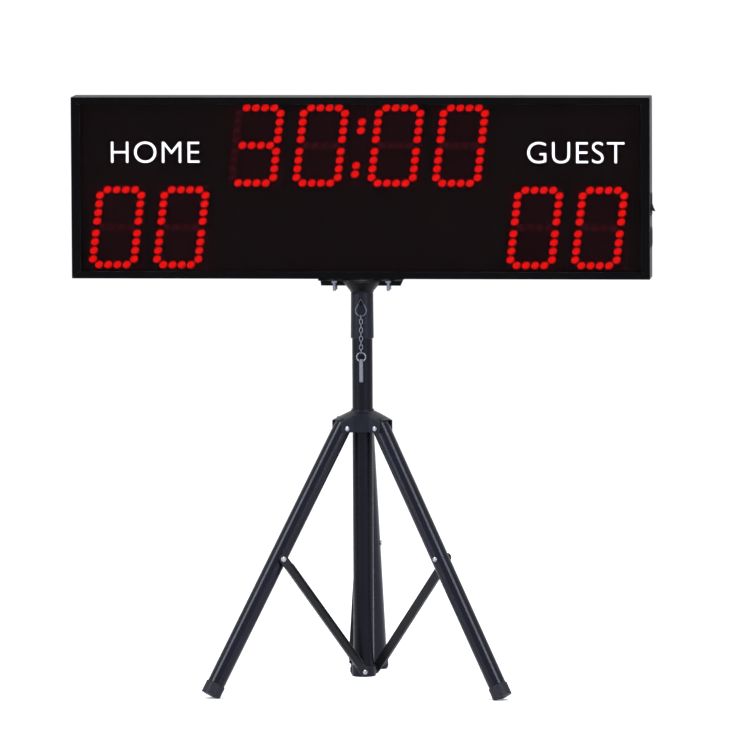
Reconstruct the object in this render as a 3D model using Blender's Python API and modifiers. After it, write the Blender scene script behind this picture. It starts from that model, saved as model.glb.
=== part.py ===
"""Portable LED game clock with score digits, carried on a folding tripod.

Metres, +Z up. Seen from the players' side the camera looks along +Y, so the display faces -Y.
The mast stands upright, the display turns and rises on it, and three legs fold against it
while their hub slides up the mast. All driving sizes are named below.
"""

import math

import bmesh
import bpy
from mathutils import Matrix, Vector

# Clearances
GAP = 0.0003
SLIDE_GAP = 0.0003
MITRE_GAP = 0.00025

# Display case: an aluminium frame round a tinted window
DISPLAY_WIDTH = 0.900
DISPLAY_HEIGHT = 0.282
DISPLAY_DEPTH = 0.065
DISPLAY_ABOVE_PIVOTS = 0.2330
RAIL_WALL = 0.0018
BEZEL_SIDE = 0.014
BEZEL_TOP = 0.011
REAR_LIP = 0.012
WINDOW_THICKNESS = 0.003
COVER_THICKNESS = 0.0015
COVER_INSET = 0.002
CHASSIS_THICKNESS = 0.0015
KEY_LEG = 0.045
KEY_DEPTH = 0.034
KEY_WALL = 0.003

# Digits: seven segments of four round LEDs
BOARD_WIDTH = 0.090
BOARD_HEIGHT = 0.136
BOARD_THICKNESS = 0.0016
COLON_BOARD_WIDTH = 0.0245
LED_RADIUS = 0.0055
LED_HEIGHT = 0.0042
LED_SIDES = 6
LED_ROOT = 0.0004
LEDS_IN_SEGMENT = 4
ROW_PITCH = 0.01435
COLUMN_PITCH = 0.01345
COLUMN_START = 0.00935
DIGIT_SPAN = 0.0644
DIGIT_RISE = 0.1168
DIGIT_LEAN = 0.120
COLON_LEAN = 0.140
COLON_UPPER = 0.0298
COLON_LOWER = 0.0378
DIGIT_PITCH = 0.1004
CLOCK_INNER = 0.0585
CLOCK_MARGIN = 0.075
SCORE_MARGIN = 0.0743
SCORE_RISE = 0.0795
SCORE_OFFSET = -0.0040
CLOCK_OFFSET = -0.0026
COLON_OFFSET = -0.0017

# Vents in the rear cover
VENT_COUNT = 14
VENT_PITCH = 0.010
VENT_WIDTH = 0.004
VENT_HEIGHT = 0.036
VENT_INSET = 0.200

# Electronics inside the case
SUPPLY_SIZE = (0.150, 0.034, 0.060)
SUPPLY_INSET = 0.150
CONTROL_SIZE = (0.140, 0.0016, 0.090)
CONTROL_OFFSET = -0.120
CHIP_SIZE = (0.022, 0.003, 0.022)
CONNECTOR_SIZE = (0.012, 0.009, 0.030)
CONNECTOR_HEIGHT = 0.020
TERMINAL_SIZE = (0.018, 0.012, 0.044)
TERMINAL_BITE = 0.006
TERMINAL_OFFSET = 0.004
SUPPLY_BEVEL = 0.001
SOLDER_DEPTH = 0.0002

# Rocker switch and mains inlet on the right side of the case
SWITCH_FLANGE = (0.0015, 0.018, 0.035)
SWITCH_BODY = (0.022, 0.013, 0.029)
SWITCH_WALL = 0.0015
SWITCH_HEIGHT = 0.115
SWITCH_POCKET = 0.010
ROCKER_TILT = math.radians(11.0)
ROCKER_CROWN = 0.0042
ROCKER_ROOT = 0.75
INLET_FLANGE = (0.0015, 0.024, 0.031)
INLET_BODY = (0.020, 0.019, 0.026)
INLET_WALL = 0.0018
INLET_HEIGHT = 0.064
INLET_POCKET = 0.015
INLET_PIN = (0.012, 0.0022, 0.0050)
INLET_PIN_PITCH = 0.0070
INLET_PIN_STAGGER = 0.0020
INLET_PIN_ROOT = 0.0004
FLANGE_BEVEL = 0.0004

# Bracket between display and mast
BRACKET_WIDTH = 0.132
BRACKET_DEPTH = 0.056
BRACKET_PLATE = 0.003
RIB_DEPTH = 0.0095
RIB_THICKNESS = 0.004
RIB_END = 0.005
RIB_START = 0.0015
RIB_ROOT = 0.0010
PLATE_MARGIN = 0.0008
PLATE_BEVEL = 0.0006
SKIRT_RADIUS = 0.031
SKIRT_RIM = 0.0020
SKIRT_FLARE = 0.0030
SKIRT_HEIGHT = 0.006
SOCKET_COLLAR = 0.0030
SOCKET_FILLET = 0.0010
SOCKET_WALL = 0.0031
SOCKET_DROP = 0.0235
BOLT_X = 0.042
BOLT_Y = 0.013
BOLT_RADIUS = 0.0025
BOLT_HEAD_RADIUS = 0.0038
BOLT_HEAD_HEIGHT = 0.0035
NUT_RADIUS = 0.0048
NUT_HEIGHT = 0.004
BOLT_TIP = 0.0200

# Mast
COLUMN_RADIUS = 0.016
COLUMN_WALL = 0.0015
RISER_WALL = 0.0016
RISER_BOTTOM = 0.080
RISER_HOLE_RADIUS = 0.0038
RISER_HOLE_PITCH = 0.090
RISER_HOLES = 4
SLEEVE_LENGTH = 0.0710
SLEEVE_WALL = 0.0011
SLEEVE_TAPER = 0.0006
SLEEVE_LIP = 0.002
SLEEVE_CAP = 0.0018
TUBE_SIDES = 32
FASTENER_SIDES = 12
PEG_SIDES = 16
BORE_REACH = 0.030
OVERCUT = 0.010
EDGE_BREAK = 0.0008

# Clamp knobs
KNOB_RADIUS = 0.0095
KNOB_LOBE = 0.0012
KNOB_LENGTH = 0.014
KNOB_NECK_RADIUS = 0.0055
KNOB_NECK = 0.003
KNOB_ROOT = 0.001
KNOB_LOBES = 6
KNOB_POINTS = 36
STUD_RADIUS = 0.003
BOSS_RADIUS = 0.0065
BOSS_REACH = 0.0225
SLEEVE_KNOB_DROP = 0.0342

# Safety pin on its chain
HOOK_SCREW_DROP = 0.0147
HOOK_SCREW_RADIUS = 0.0019
HOOK_SCREW_HEAD = 0.0033
HOOK_SCREW_HEAD_LENGTH = 0.0022
CHAIN_CLEARANCE = 0.0005
HOOK_WIRE = 0.0010
HOOK_RISE = 0.0065
HOOK_SIDE = 0.0180
HOOK_BOWL = 0.0085
HOOK_ARC_STEPS = 14
LINK_COUNT = 9
LINK_WIRE = 0.0008
LINK_HALF_WIDTH = 0.00225
LINK_BITE = 0.00015
LINK_ARC_STEPS = 5
CHAIN_SPAN = 0.0570
RING_RADIUS = 0.0069
RING_WIRE = 0.0012
RING_STEPS = 20
PIN_RADIUS = 0.0031
PIN_LENGTH = 0.037
PIN_SHOULDER = 0.0018
PIN_CHAMFER = 0.0012

# Hub
HUB_SKIRT = 0.0065
HUB_ROOF = 0.00136
HUB_CAP_RISE = 0.0128
HUB_NECK = 0.0025
HUB_NECK_WALL = 0.0016
HUB_ARM_END = 0.0092
HUB_CHEEK = 0.0029
HUB_FLAT = 0.0275
YOKE_ARC_STEPS = 10
HUB_KNOB_RISE = 0.005
HUB_KNOB_AZIMUTH = math.radians(150.0)

# Legs
LEG_AZIMUTHS = {"rear": 90.0, "left": 210.0, "right": 330.0}
LEG_TILT = math.radians(29.2)
LEG_RADIUS = 0.014
LEG_WALL = 0.0015
LEG_PIVOT_REACH = 0.035
LEG_PIVOT_HEIGHT = 0.4105
LEG_SIDES = 24
SLOT_GAP = 0.0006
FOOT_RADIUS = 0.0155
FOOT_LENGTH = 0.020
FOOT_BASE = 0.004
FOOT_LIP = 0.0012
SOLE_CUT = 0.003

# Struts
STRUT_JOIN = 0.2265
STRUT_FOOT_REACH = 0.008
STRUT_FOOT_HEIGHT = 0.0285
STRUT_WIDTH = 0.014
STRUT_WEB = 0.002
STRUT_FLANGE = 0.0045
STRUT_FLANGE_WALL = 0.0015
STRUT_FLAT_END = 0.016
STRUT_ARC_STEPS = 8
PIVOT_RADIUS = 0.003
PIVOT_HOLE = 0.0033
RIVET_HEAD_RADIUS = 0.0043
RIVET_HEAD_HEIGHT = 0.0022
HEAD_CROWN = 0.6
HEAD_SHOULDER = 0.9
WELD_DEPTH = 0.0002
SPACER_RADIUS = 0.0052

# Lower collar
COLLAR_BOTTOM = 0.020
COLLAR_TOP = 0.037
COLLAR_BASE = 0.002
COLLAR_RADIUS = 0.0190
COLLAR_CHAMFER = 0.0012
EAR_FACE = 0.0184
EAR_THICKNESS = 0.0052
EAR_RADIUS = 0.0070
RIVET_DEPTH = 0.0030

# Sizes that follow from those above
FRONT = -DISPLAY_DEPTH / 2
RAIL_DEPTH = DISPLAY_DEPTH - COVER_THICKNESS - GAP
DISPLAY_BOTTOM = LEG_PIVOT_HEIGHT + DISPLAY_ABOVE_PIVOTS
DISPLAY_CENTRE = DISPLAY_BOTTOM + DISPLAY_HEIGHT / 2
CLOCK_OUTER = CLOCK_INNER + DIGIT_PITCH
CLOCK_HEIGHT = DISPLAY_HEIGHT / 2 - CLOCK_MARGIN
SCORE_OUTER = DISPLAY_WIDTH / 2 - SCORE_MARGIN
SCORE_INNER = SCORE_OUTER - DIGIT_PITCH
SCORE_HEIGHT = SCORE_RISE - DISPLAY_HEIGHT / 2
WINDOW_FRONT = RAIL_WALL + GAP
LED_FRONT = WINDOW_FRONT + WINDOW_THICKNESS + GAP
BOARD_FRONT = LED_FRONT + LED_HEIGHT
CHASSIS_FRONT = BOARD_FRONT + BOARD_THICKNESS + GAP
RIB_FRONT = CHASSIS_FRONT + CHASSIS_THICKNESS + GAP
PLATE_TOP = DISPLAY_BOTTOM - GAP
PLATE_UNDER = PLATE_TOP - BRACKET_PLATE
COLUMN_BORE = COLUMN_RADIUS - COLUMN_WALL
RISER_RADIUS = COLUMN_BORE - SLIDE_GAP
RISER_TOP = PLATE_UNDER - GAP
SOCKET_BOTTOM = DISPLAY_BOTTOM - SOCKET_DROP
SLEEVE_TOP = SOCKET_BOTTOM - GAP
SLEEVE_BOTTOM = SLEEVE_TOP - SLEEVE_LENGTH
COLUMN_TOP = SLEEVE_TOP - SLEEVE_CAP - GAP
COLUMN_BOTTOM = COLLAR_BOTTOM + COLLAR_BASE + GAP
COLUMN_FIT = COLUMN_RADIUS + SLIDE_GAP
SLEEVE_TOP_RADIUS = COLUMN_FIT + SLEEVE_WALL
SLEEVE_FOOT_RADIUS = SLEEVE_TOP_RADIUS + SLEEVE_TAPER
SLEEVE_KNOB_HEIGHT = SLEEVE_TOP - SLEEVE_KNOB_DROP
HOOK_SCREW_HEIGHT = SLEEVE_TOP - HOOK_SCREW_DROP
HOOK_TOP = HOOK_SCREW_HEIGHT + HOOK_RISE
HOOK_BOWL_HEIGHT = HOOK_TOP - HOOK_SIDE
HOOK_BOWL_WIRE = HOOK_BOWL_HEIGHT - HOOK_BOWL
RING_TOP = HOOK_BOWL_WIRE - CHAIN_SPAN
PIN_PLANE = -(SLEEVE_FOOT_RADIUS + CHAIN_CLEARANCE + LINK_HALF_WIDTH + LINK_WIRE)
RING_RISE = RING_RADIUS - math.sqrt(RING_RADIUS ** 2 - PIN_RADIUS ** 2)
PIN_EYE = RING_WIRE + RING_RISE / 2 + GAP
SLOT_HALF = LEG_RADIUS + SLOT_GAP
CHEEK_FACE = SLOT_HALF + HUB_CHEEK
HUB_ARM_REACH = LEG_PIVOT_REACH + HUB_ARM_END
HUB_BOTTOM = LEG_PIVOT_HEIGHT - HUB_SKIRT
HUB_ARM_TOP = LEG_PIVOT_HEIGHT + math.sqrt(SLOT_HALF ** 2 - HUB_ARM_END ** 2) + HUB_ROOF
HUB_SHOULDER = HUB_ARM_TOP + HUB_CAP_RISE
HUB_NECK_TOP = HUB_SHOULDER + HUB_NECK
HUB_NECK_RADIUS = COLUMN_FIT + HUB_NECK_WALL
HUB_KNOB_HEIGHT = LEG_PIVOT_HEIGHT + HUB_KNOB_RISE
FOOT_END_HEIGHT = FOOT_RADIUS * math.sin(LEG_TILT) - SOLE_CUT
FOOT_REACH = (LEG_PIVOT_HEIGHT - FOOT_END_HEIGHT) / math.cos(LEG_TILT)
LEG_LENGTH = FOOT_REACH - FOOT_BASE - GAP
STRUT_FACE = EAR_FACE + GAP
JOIN_REACH = LEG_PIVOT_REACH + STRUT_JOIN * math.sin(LEG_TILT)
JOIN_HEIGHT = LEG_PIVOT_HEIGHT - STRUT_JOIN * math.cos(LEG_TILT)
STRUT_LENGTH = math.hypot(JOIN_REACH - STRUT_FOOT_REACH, JOIN_HEIGHT - STRUT_FOOT_HEIGHT)
STRUT_TILT = math.atan2(JOIN_REACH - STRUT_FOOT_REACH, JOIN_HEIGHT - STRUT_FOOT_HEIGHT)
FOLD_TRAVEL = (math.sqrt(STRUT_LENGTH ** 2 - (LEG_PIVOT_REACH - STRUT_FOOT_REACH) ** 2)
               + STRUT_FOOT_HEIGHT + STRUT_JOIN - LEG_PIVOT_HEIGHT)
FOOT_AXIS_REACH = LEG_PIVOT_REACH + FOOT_REACH * math.sin(LEG_TILT)
FOOT_LEAN = math.sin(LEG_TILT) / 2
REAR_REACH = FOOT_AXIS_REACH + FOOT_RADIUS * math.cos(LEG_TILT)
FRONT_REACH = FOOT_AXIS_REACH / 2 + FOOT_RADIUS * math.sqrt(1 - FOOT_LEAN ** 2)
ROCKER_SPAN = math.sqrt((SWITCH_BODY[2] / 2 - SWITCH_WALL - GAP) ** 2 - ROCKER_CROWN ** 2)
ROCKER_PROUD = GAP + ROCKER_CROWN * math.cos(ROCKER_TILT) + ROCKER_SPAN * math.sin(ROCKER_TILT)


def clear_scene():
    for thing in list(bpy.data.objects):
        bpy.data.objects.remove(thing, do_unlink=True)


def collection(name):
    group = bpy.data.collections.new(name)
    bpy.context.scene.collection.children.link(group)
    return group


def finish_material(name, colour, roughness, metallic=0.0):
    surface = bpy.data.materials.new(name)
    surface.use_nodes = True
    shader = surface.node_tree.nodes["Principled BSDF"]
    shader.inputs["Base Color"].default_value = (*colour, 1.0)
    shader.inputs["Roughness"].default_value = roughness
    shader.inputs["Metallic"].default_value = metallic
    return surface


def empty(name, parent=None, location=(0.0, 0.0, 0.0), rotation=(0.0, 0.0, 0.0)):
    handle = bpy.data.objects.new(name, None)
    PARTS.objects.link(handle)
    handle.empty_display_size = 0.02
    handle.location = location
    handle.rotation_euler = rotation
    handle.parent = parent
    return handle


def loose(name, mesh, location=(0.0, 0.0, 0.0), rotation=(0.0, 0.0, 0.0)):
    """A working object that later becomes a part or is spent in a Boolean."""
    thing = bpy.data.objects.new(name, mesh)
    PARTS.objects.link(thing)
    thing.location = location
    thing.rotation_euler = rotation
    return thing


def place(thing, name, surface, parent, location=(0.0, 0.0, 0.0), rotation=(0.0, 0.0, 0.0)):
    """Name a finished piece, give it its material and put it where it belongs."""
    thing.data.transform(thing.matrix_basis)
    thing.name = name
    thing.data.name = name
    thing.data.materials.clear()
    thing.data.materials.append(surface)
    thing.data.shade_smooth()
    thing.data.set_sharp_from_angle(angle=math.radians(32.0))
    thing.parent = parent
    thing.location = location
    thing.rotation_euler = rotation
    return thing


def repeat(thing, name, parent, location=(0.0, 0.0, 0.0), rotation=(0.0, 0.0, 0.0)):
    """A further copy of a placed piece, sharing its mesh."""
    twin = bpy.data.objects.new(name, thing.data)
    PARTS.objects.link(twin)
    twin.parent = parent
    twin.location = location
    twin.rotation_euler = rotation
    return twin


def as_mesh(thing):
    """Apply what a curve or a modifier stack makes, with the caps welded."""
    bpy.context.view_layer.update()
    graph = bpy.context.evaluated_depsgraph_get()
    mesh = bpy.data.meshes.new_from_object(thing.evaluated_get(graph))
    work = bmesh.new()
    work.from_mesh(mesh)
    bmesh.ops.remove_doubles(work, verts=work.verts, dist=0.000002)
    bmesh.ops.transform(work, matrix=thing.matrix_world, verts=work.verts)
    bmesh.ops.recalc_face_normals(work, faces=work.faces)
    work.to_mesh(mesh)
    work.free()
    solid = bpy.data.objects.new(thing.name, mesh)
    PARTS.objects.link(solid)
    bpy.data.objects.remove(thing, do_unlink=True)
    return solid


def box(size, centre=(0.0, 0.0, 0.0), bevel=0.0, rotation=(0.0, 0.0, 0.0)):
    mesh = bpy.data.meshes.new("box")
    work = bmesh.new()
    bmesh.ops.create_cube(work, size=1.0)
    bmesh.ops.scale(work, vec=Vector(size), verts=work.verts)
    if bevel > 0.0:
        bmesh.ops.bevel(work, geom=list(work.edges), offset=bevel, segments=1,
                        affect="EDGES", clamp_overlap=True)
    work.to_mesh(mesh)
    work.free()
    return loose("box", mesh, centre, rotation)


def rod(radius, start, end, sides=PEG_SIDES, tip=None):
    """A round bar or a cone from one point to another."""
    start, end = Vector(start), Vector(end)
    mesh = bpy.data.meshes.new("rod")
    work = bmesh.new()
    bmesh.ops.create_cone(work, cap_ends=True, segments=sides, radius1=radius,
                          radius2=radius if tip is None else tip, depth=(end - start).length)
    work.to_mesh(mesh)
    work.free()
    bar = loose("rod", mesh, (start + end) / 2)
    bar.rotation_euler = (end - start).to_track_quat("Z", "Y").to_euler()
    return bar


def turned(profile, sides, closed=False):
    """Turn a profile of (radius, height) points about the Z axis."""
    mesh = bpy.data.meshes.new("turned")
    last = len(profile) if closed else len(profile) - 1
    edges = [(i, (i + 1) % len(profile)) for i in range(last)]
    mesh.from_pydata([(radius, 0.0, height) for radius, height in profile], edges, [])
    body = loose("turned", mesh)
    screw = body.modifiers.new("turn", "SCREW")
    screw.steps = sides
    screw.render_steps = sides
    screw.use_merge_vertices = True
    screw.merge_threshold = 0.00001
    return as_mesh(body)


def tube(outer, inner, bottom, top, sides):
    """A pipe cut square at both ends, standing on its own axis."""
    return turned([(inner, top), (outer, top), (outer, bottom), (inner, bottom)], sides, closed=True)


def outline(points, thickness):
    """A flat outline in XY, thickened along Z about its own plane."""
    curve = bpy.data.curves.new("outline", "CURVE")
    curve.dimensions = "2D"
    curve.fill_mode = "BOTH"
    curve.extrude = thickness / 2
    spline = curve.splines.new("POLY")
    spline.points.add(len(points) - 1)
    for point, (x, y) in zip(spline.points, points):
        point.co = (x, y, 0.0, 1.0)
    spline.use_cyclic_u = True
    return as_mesh(loose("outline", curve))


def wire(points, radius, resolution=1):
    """A closed loop of round wire."""
    curve = bpy.data.curves.new("wire", "CURVE")
    curve.dimensions = "3D"
    curve.bevel_depth = radius
    curve.bevel_resolution = resolution
    spline = curve.splines.new("POLY")
    spline.points.add(len(points) - 1)
    for point, place_on in zip(spline.points, points):
        point.co = (*place_on, 1.0)
    spline.use_cyclic_u = True
    return as_mesh(loose("wire", curve))


def arc(centre, radius, start, end, steps):
    """Points of a circular arc in a plane, both ends included."""
    turn = (end - start) / steps
    return [(centre[0] + radius * math.cos(start + turn * i),
             centre[1] + radius * math.sin(start + turn * i)) for i in range(steps + 1)]


def merged(pieces):
    """Several separate closed shapes as one mesh, for one Boolean."""
    bpy.context.view_layer.update()
    work = bmesh.new()
    for piece in pieces:
        copy = piece.data.copy()
        copy.transform(piece.matrix_world)
        work.from_mesh(copy)
        bpy.data.meshes.remove(copy)
    mesh = bpy.data.meshes.new("merged")
    work.to_mesh(mesh)
    work.free()
    for piece in pieces:
        bpy.data.objects.remove(piece, do_unlink=True)
    return loose("merged", mesh)


def combine(target, tool, operation):
    boolean = target.modifiers.new(operation.lower(), "BOOLEAN")
    boolean.operation = operation
    boolean.solver = "EXACT"
    boolean.object = tool
    result = as_mesh(target)
    bpy.data.objects.remove(tool, do_unlink=True)
    return result


def join(target, *additions):
    for addition in additions:
        target = combine(target, addition, "UNION")
    return target


def cut(target, *cutters):
    for cutter in cutters:
        cutter.display_type = "WIRE"
        cutter.hide_render = True
        target = combine(target, cutter, "DIFFERENCE")
    return target


def turn_mesh(thing, matrix):
    thing.data.transform(matrix)
    return thing


def rail(half_reach, half_length, bezel, end_bezel):
    """One side of the case frame, lying along X on the +Z side, with mitred ends."""
    wall, depth = RAIL_WALL, RAIL_DEPTH
    section = [(0.0, 0.0), (depth, 0.0), (depth, REAR_LIP), (depth - wall, REAR_LIP),
               (depth - wall, wall), (RIB_FRONT + wall, wall), (RIB_FRONT + wall, BEZEL_TOP),
               (RIB_FRONT, BEZEL_TOP), (RIB_FRONT, wall), (wall, wall)]
    flange = [(wall, bezel), (0.0, bezel)]
    if bezel > end_bezel:
        flange = [(wall, end_bezel)] + flange + [(0.0, end_bezel)]
    section += flange
    bar = outline(section, 2 * half_length)
    for corner in bar.data.vertices:
        back, inward, along = corner.co
        mitre = min(inward, end_bezel) if back < RIB_FRONT else inward
        end = half_length - mitre - MITRE_GAP
        corner.co = (math.copysign(end, along), FRONT + back, half_reach - inward)
    mesh = bar.data
    work = bmesh.new()
    work.from_mesh(mesh)
    bmesh.ops.recalc_face_normals(work, faces=work.faces)
    work.to_mesh(mesh)
    work.free()
    return bar


def build_frame(case):
    half_width, half_height = DISPLAY_WIDTH / 2, DISPLAY_HEIGHT / 2
    long_bar = rail(half_height, half_width, BEZEL_TOP, BEZEL_TOP)
    top = place(long_bar, "top_rail", FRAME_BLACK, case)
    holes = [rod(BOLT_RADIUS + GAP, (x, y, half_height - 2 * RAIL_WALL), (x, y, half_height + RAIL_WALL))
             for x in (-BOLT_X, BOLT_X) for y in (-BOLT_Y, BOLT_Y)]
    drilled = cut(loose("rail", top.data.copy()), merged(holes))
    place(drilled, "bottom_rail", FRAME_BLACK, case, rotation=(0.0, math.pi, 0.0))
    short_bar = rail(half_width, half_height, BEZEL_SIDE, BEZEL_TOP)
    left = place(short_bar, "left_rail", FRAME_BLACK, case, rotation=(0.0, -math.pi / 2, 0.0))
    openings = []
    for body, height in ((SWITCH_BODY, SWITCH_HEIGHT), (INLET_BODY, INLET_HEIGHT)):
        along = half_height - height
        openings.append(box((body[2] + 2 * GAP, body[1] + 2 * GAP, 4 * RAIL_WALL), (along, 0.0, half_width)))
    notched = cut(loose("rail", left.data.copy()), merged(openings))
    place(notched, "right_rail", FRAME_BLACK, case, rotation=(0.0, math.pi / 2, 0.0))


def build_corner_keys(case):
    """Angle pieces that pull the mitred corners together."""
    reach = KEY_LEG
    angle = outline([(0, 0), (-reach, 0), (-reach, -KEY_WALL), (-KEY_WALL * 2, -KEY_WALL),
                     (-KEY_WALL, -KEY_WALL * 2), (-KEY_WALL, -reach), (0, -reach)], KEY_DEPTH)
    turn_mesh(angle, Matrix.Rotation(math.pi / 2, 4, "X"))
    inset = RAIL_WALL + GAP
    middle = FRONT + RAIL_DEPTH - RAIL_WALL - GAP - KEY_DEPTH / 2
    first = None
    corners = (("top_right", 1, 1, 0.0), ("bottom_right", 1, -1, 0.5), ("bottom_left", -1, -1, 1.0),
               ("top_left", -1, 1, 1.5))
    for name, side, level, quarter in corners:
        spot = (side * (DISPLAY_WIDTH / 2 - inset), middle, level * (DISPLAY_HEIGHT / 2 - inset))
        turn = (0.0, quarter * math.pi, 0.0)
        if first is None:
            first = place(angle, name + "_corner_key", ALUMINIUM, case, spot, turn)
        else:
            repeat(first, name + "_corner_key", case, spot, turn)


def led_places():
    """Middles of the LEDs of one digit, which leans as it rises."""
    middle = (LEDS_IN_SEGMENT - 1) / 2
    places = []
    for step in range(LEDS_IN_SEGMENT):
        for level in (-1, 0, 1):
            places.append(((step - middle) * ROW_PITCH, level * DIGIT_RISE / 2))
        for side in (-1, 1):
            for half in (-1, 1):
                rise = half * (COLUMN_START + step * COLUMN_PITCH)
                places.append((side * DIGIT_SPAN / 2, rise))
    return [(x + DIGIT_LEAN * z, z) for x, z in places]


def led_board(width, places):
    """A circuit board with its LEDs, seen from the back of the window."""
    board = box((width, BOARD_THICKNESS, BOARD_HEIGHT), (0.0, BOARD_THICKNESS / 2, 0.0))
    leds = [rod(LED_RADIUS, (x, LED_ROOT, z), (x, -LED_HEIGHT, z), LED_SIDES) for x, z in places]
    return join(as_mesh(board), merged(leds))


def build_digits(case):
    depth = FRONT + BOARD_FRONT
    layout = {"clock_minutes_tens": (CLOCK_OFFSET - CLOCK_OUTER, CLOCK_HEIGHT),
              "clock_minutes_units": (CLOCK_OFFSET - CLOCK_INNER, CLOCK_HEIGHT),
              "clock_seconds_tens": (CLOCK_OFFSET + CLOCK_INNER, CLOCK_HEIGHT),
              "clock_seconds_units": (CLOCK_OFFSET + CLOCK_OUTER, CLOCK_HEIGHT),
              "home_score_tens": (SCORE_OFFSET - SCORE_OUTER, SCORE_HEIGHT),
              "home_score_units": (SCORE_OFFSET - SCORE_INNER, SCORE_HEIGHT),
              "guest_score_tens": (SCORE_OFFSET + SCORE_INNER, SCORE_HEIGHT),
              "guest_score_units": (SCORE_OFFSET + SCORE_OUTER, SCORE_HEIGHT)}
    first = None
    for name, (x, z) in layout.items():
        if first is None:
            first = led_board(BOARD_WIDTH, led_places())
            first = place(first, name + "_board", BOARD_BLACK, case, (x, depth, z))
        else:
            repeat(first, name + "_board", case, (x, depth, z))
    half = COLUMN_PITCH / 2
    dots = [(COLON_LEAN * z, z) for z in (COLON_UPPER + half, COLON_UPPER - half,
                                          -COLON_LOWER + half, -COLON_LOWER - half)]
    colon = led_board(COLON_BOARD_WIDTH, dots)
    place(colon, "colon_board", BOARD_BLACK, case, (COLON_OFFSET, depth, CLOCK_HEIGHT))


def build_panels(case):
    inner_width = DISPLAY_WIDTH - 2 * (RAIL_WALL + GAP)
    inner_height = DISPLAY_HEIGHT - 2 * (RAIL_WALL + GAP)
    window = box((inner_width, WINDOW_THICKNESS, inner_height))
    place(window, "front_window", WINDOW_TINT, case,
          (0.0, FRONT + WINDOW_FRONT + WINDOW_THICKNESS / 2, 0.0))
    chassis = box((inner_width, CHASSIS_THICKNESS, inner_height))
    place(chassis, "chassis_panel", PANEL_BLACK, case,
          (0.0, FRONT + CHASSIS_FRONT + CHASSIS_THICKNESS / 2, 0.0))
    cover = box((DISPLAY_WIDTH - 2 * COVER_INSET, COVER_THICKNESS, DISPLAY_HEIGHT - 2 * COVER_INSET))
    slots = []
    for side in (-1, 1):
        for step in range(VENT_COUNT):
            x = side * (DISPLAY_WIDTH / 2 - VENT_INSET) + (step - (VENT_COUNT - 1) / 2) * VENT_PITCH
            slots.append(box((VENT_WIDTH, 4 * COVER_THICKNESS, VENT_HEIGHT), (x, 0.0, CLOCK_HEIGHT)))
    cover = cut(cover, merged(slots))
    place(cover, "rear_cover", COVER_GREY, case, (0.0, FRONT + DISPLAY_DEPTH - COVER_THICKNESS / 2, 0.0))


def build_electronics(case):
    lip_front = FRONT + RAIL_DEPTH - RAIL_WALL
    chassis_back = FRONT + CHASSIS_FRONT + CHASSIS_THICKNESS
    width, depth, height = SUPPLY_SIZE
    supply = box(SUPPLY_SIZE, bevel=SUPPLY_BEVEL)
    terminals = box(TERMINAL_SIZE, (TERMINAL_BITE - (width + TERMINAL_SIZE[0]) / 2, -TERMINAL_OFFSET, 0.0))
    supply = join(supply, terminals)
    low = -DISPLAY_HEIGHT / 2 + RAIL_WALL + GAP + height / 2
    along = DISPLAY_WIDTH / 2 - SUPPLY_INSET
    place(supply, "power_supply", ALUMINIUM, case, (along, lip_front - GAP - depth / 2, low))
    width, depth, _ = CONTROL_SIZE
    board = box(CONTROL_SIZE)
    chip = box(CHIP_SIZE, (0.0, (depth + CHIP_SIZE[1]) / 2 - SOLDER_DEPTH, 0.0))
    plugs = [box(CONNECTOR_SIZE, (side * (width / 2 - CONNECTOR_SIZE[0]), CONNECTOR_SIZE[1] / 2,
                                  CONNECTOR_HEIGHT)) for side in (-1, 1)]
    board = join(board, chip, *plugs)
    place(board, "control_board", BOARD_GREEN, case, (CONTROL_OFFSET, chassis_back + GAP + depth / 2, 0.0))


def build_switch(case):
    """Rocker switch in the right side of the case, and its rocker on a cross axis."""
    wall_face = DISPLAY_WIDTH / 2
    height = -DISPLAY_HEIGHT / 2 + SWITCH_HEIGHT
    thick = SWITCH_FLANGE[0]
    long, body_wide, body_tall = SWITCH_BODY
    flange = box(SWITCH_FLANGE, (GAP + thick / 2, 0.0, 0.0), bevel=FLANGE_BEVEL)
    body = box((long, body_wide, body_tall), (GAP + thick / 2 - long / 2, 0.0, 0.0))
    pocket = box((SWITCH_POCKET * 2, body_wide - 2 * SWITCH_WALL, body_tall - 2 * SWITCH_WALL),
                 (GAP + thick, 0.0, 0.0))
    shell = cut(join(flange, body), pocket)
    place(shell, "switch_body", SWITCH_BLACK, case, (wall_face, 0.0, height))
    crown, span = ROCKER_CROWN, ROCKER_SPAN
    face = [(-span, crown), (0.0, crown - span * math.tan(ROCKER_TILT)), (span, crown)]
    root = [(span * ROCKER_ROOT, -crown * ROCKER_ROOT), (-span * ROCKER_ROOT, -crown * ROCKER_ROOT)]
    rocker = outline(face + root, body_wide - 2 * SWITCH_WALL - 2 * GAP)
    turn_mesh(rocker, Matrix(((0, 1, 0, 0), (0, 0, 1, 0), (1, 0, 0, 0), (0, 0, 0, 1))))
    pivot = empty("switch_axis", case, (wall_face + GAP, 0.0, height))
    place(rocker, "switch_rocker", SWITCH_BLACK, pivot, rotation=(0.0, -ROCKER_TILT, 0.0))


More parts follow.
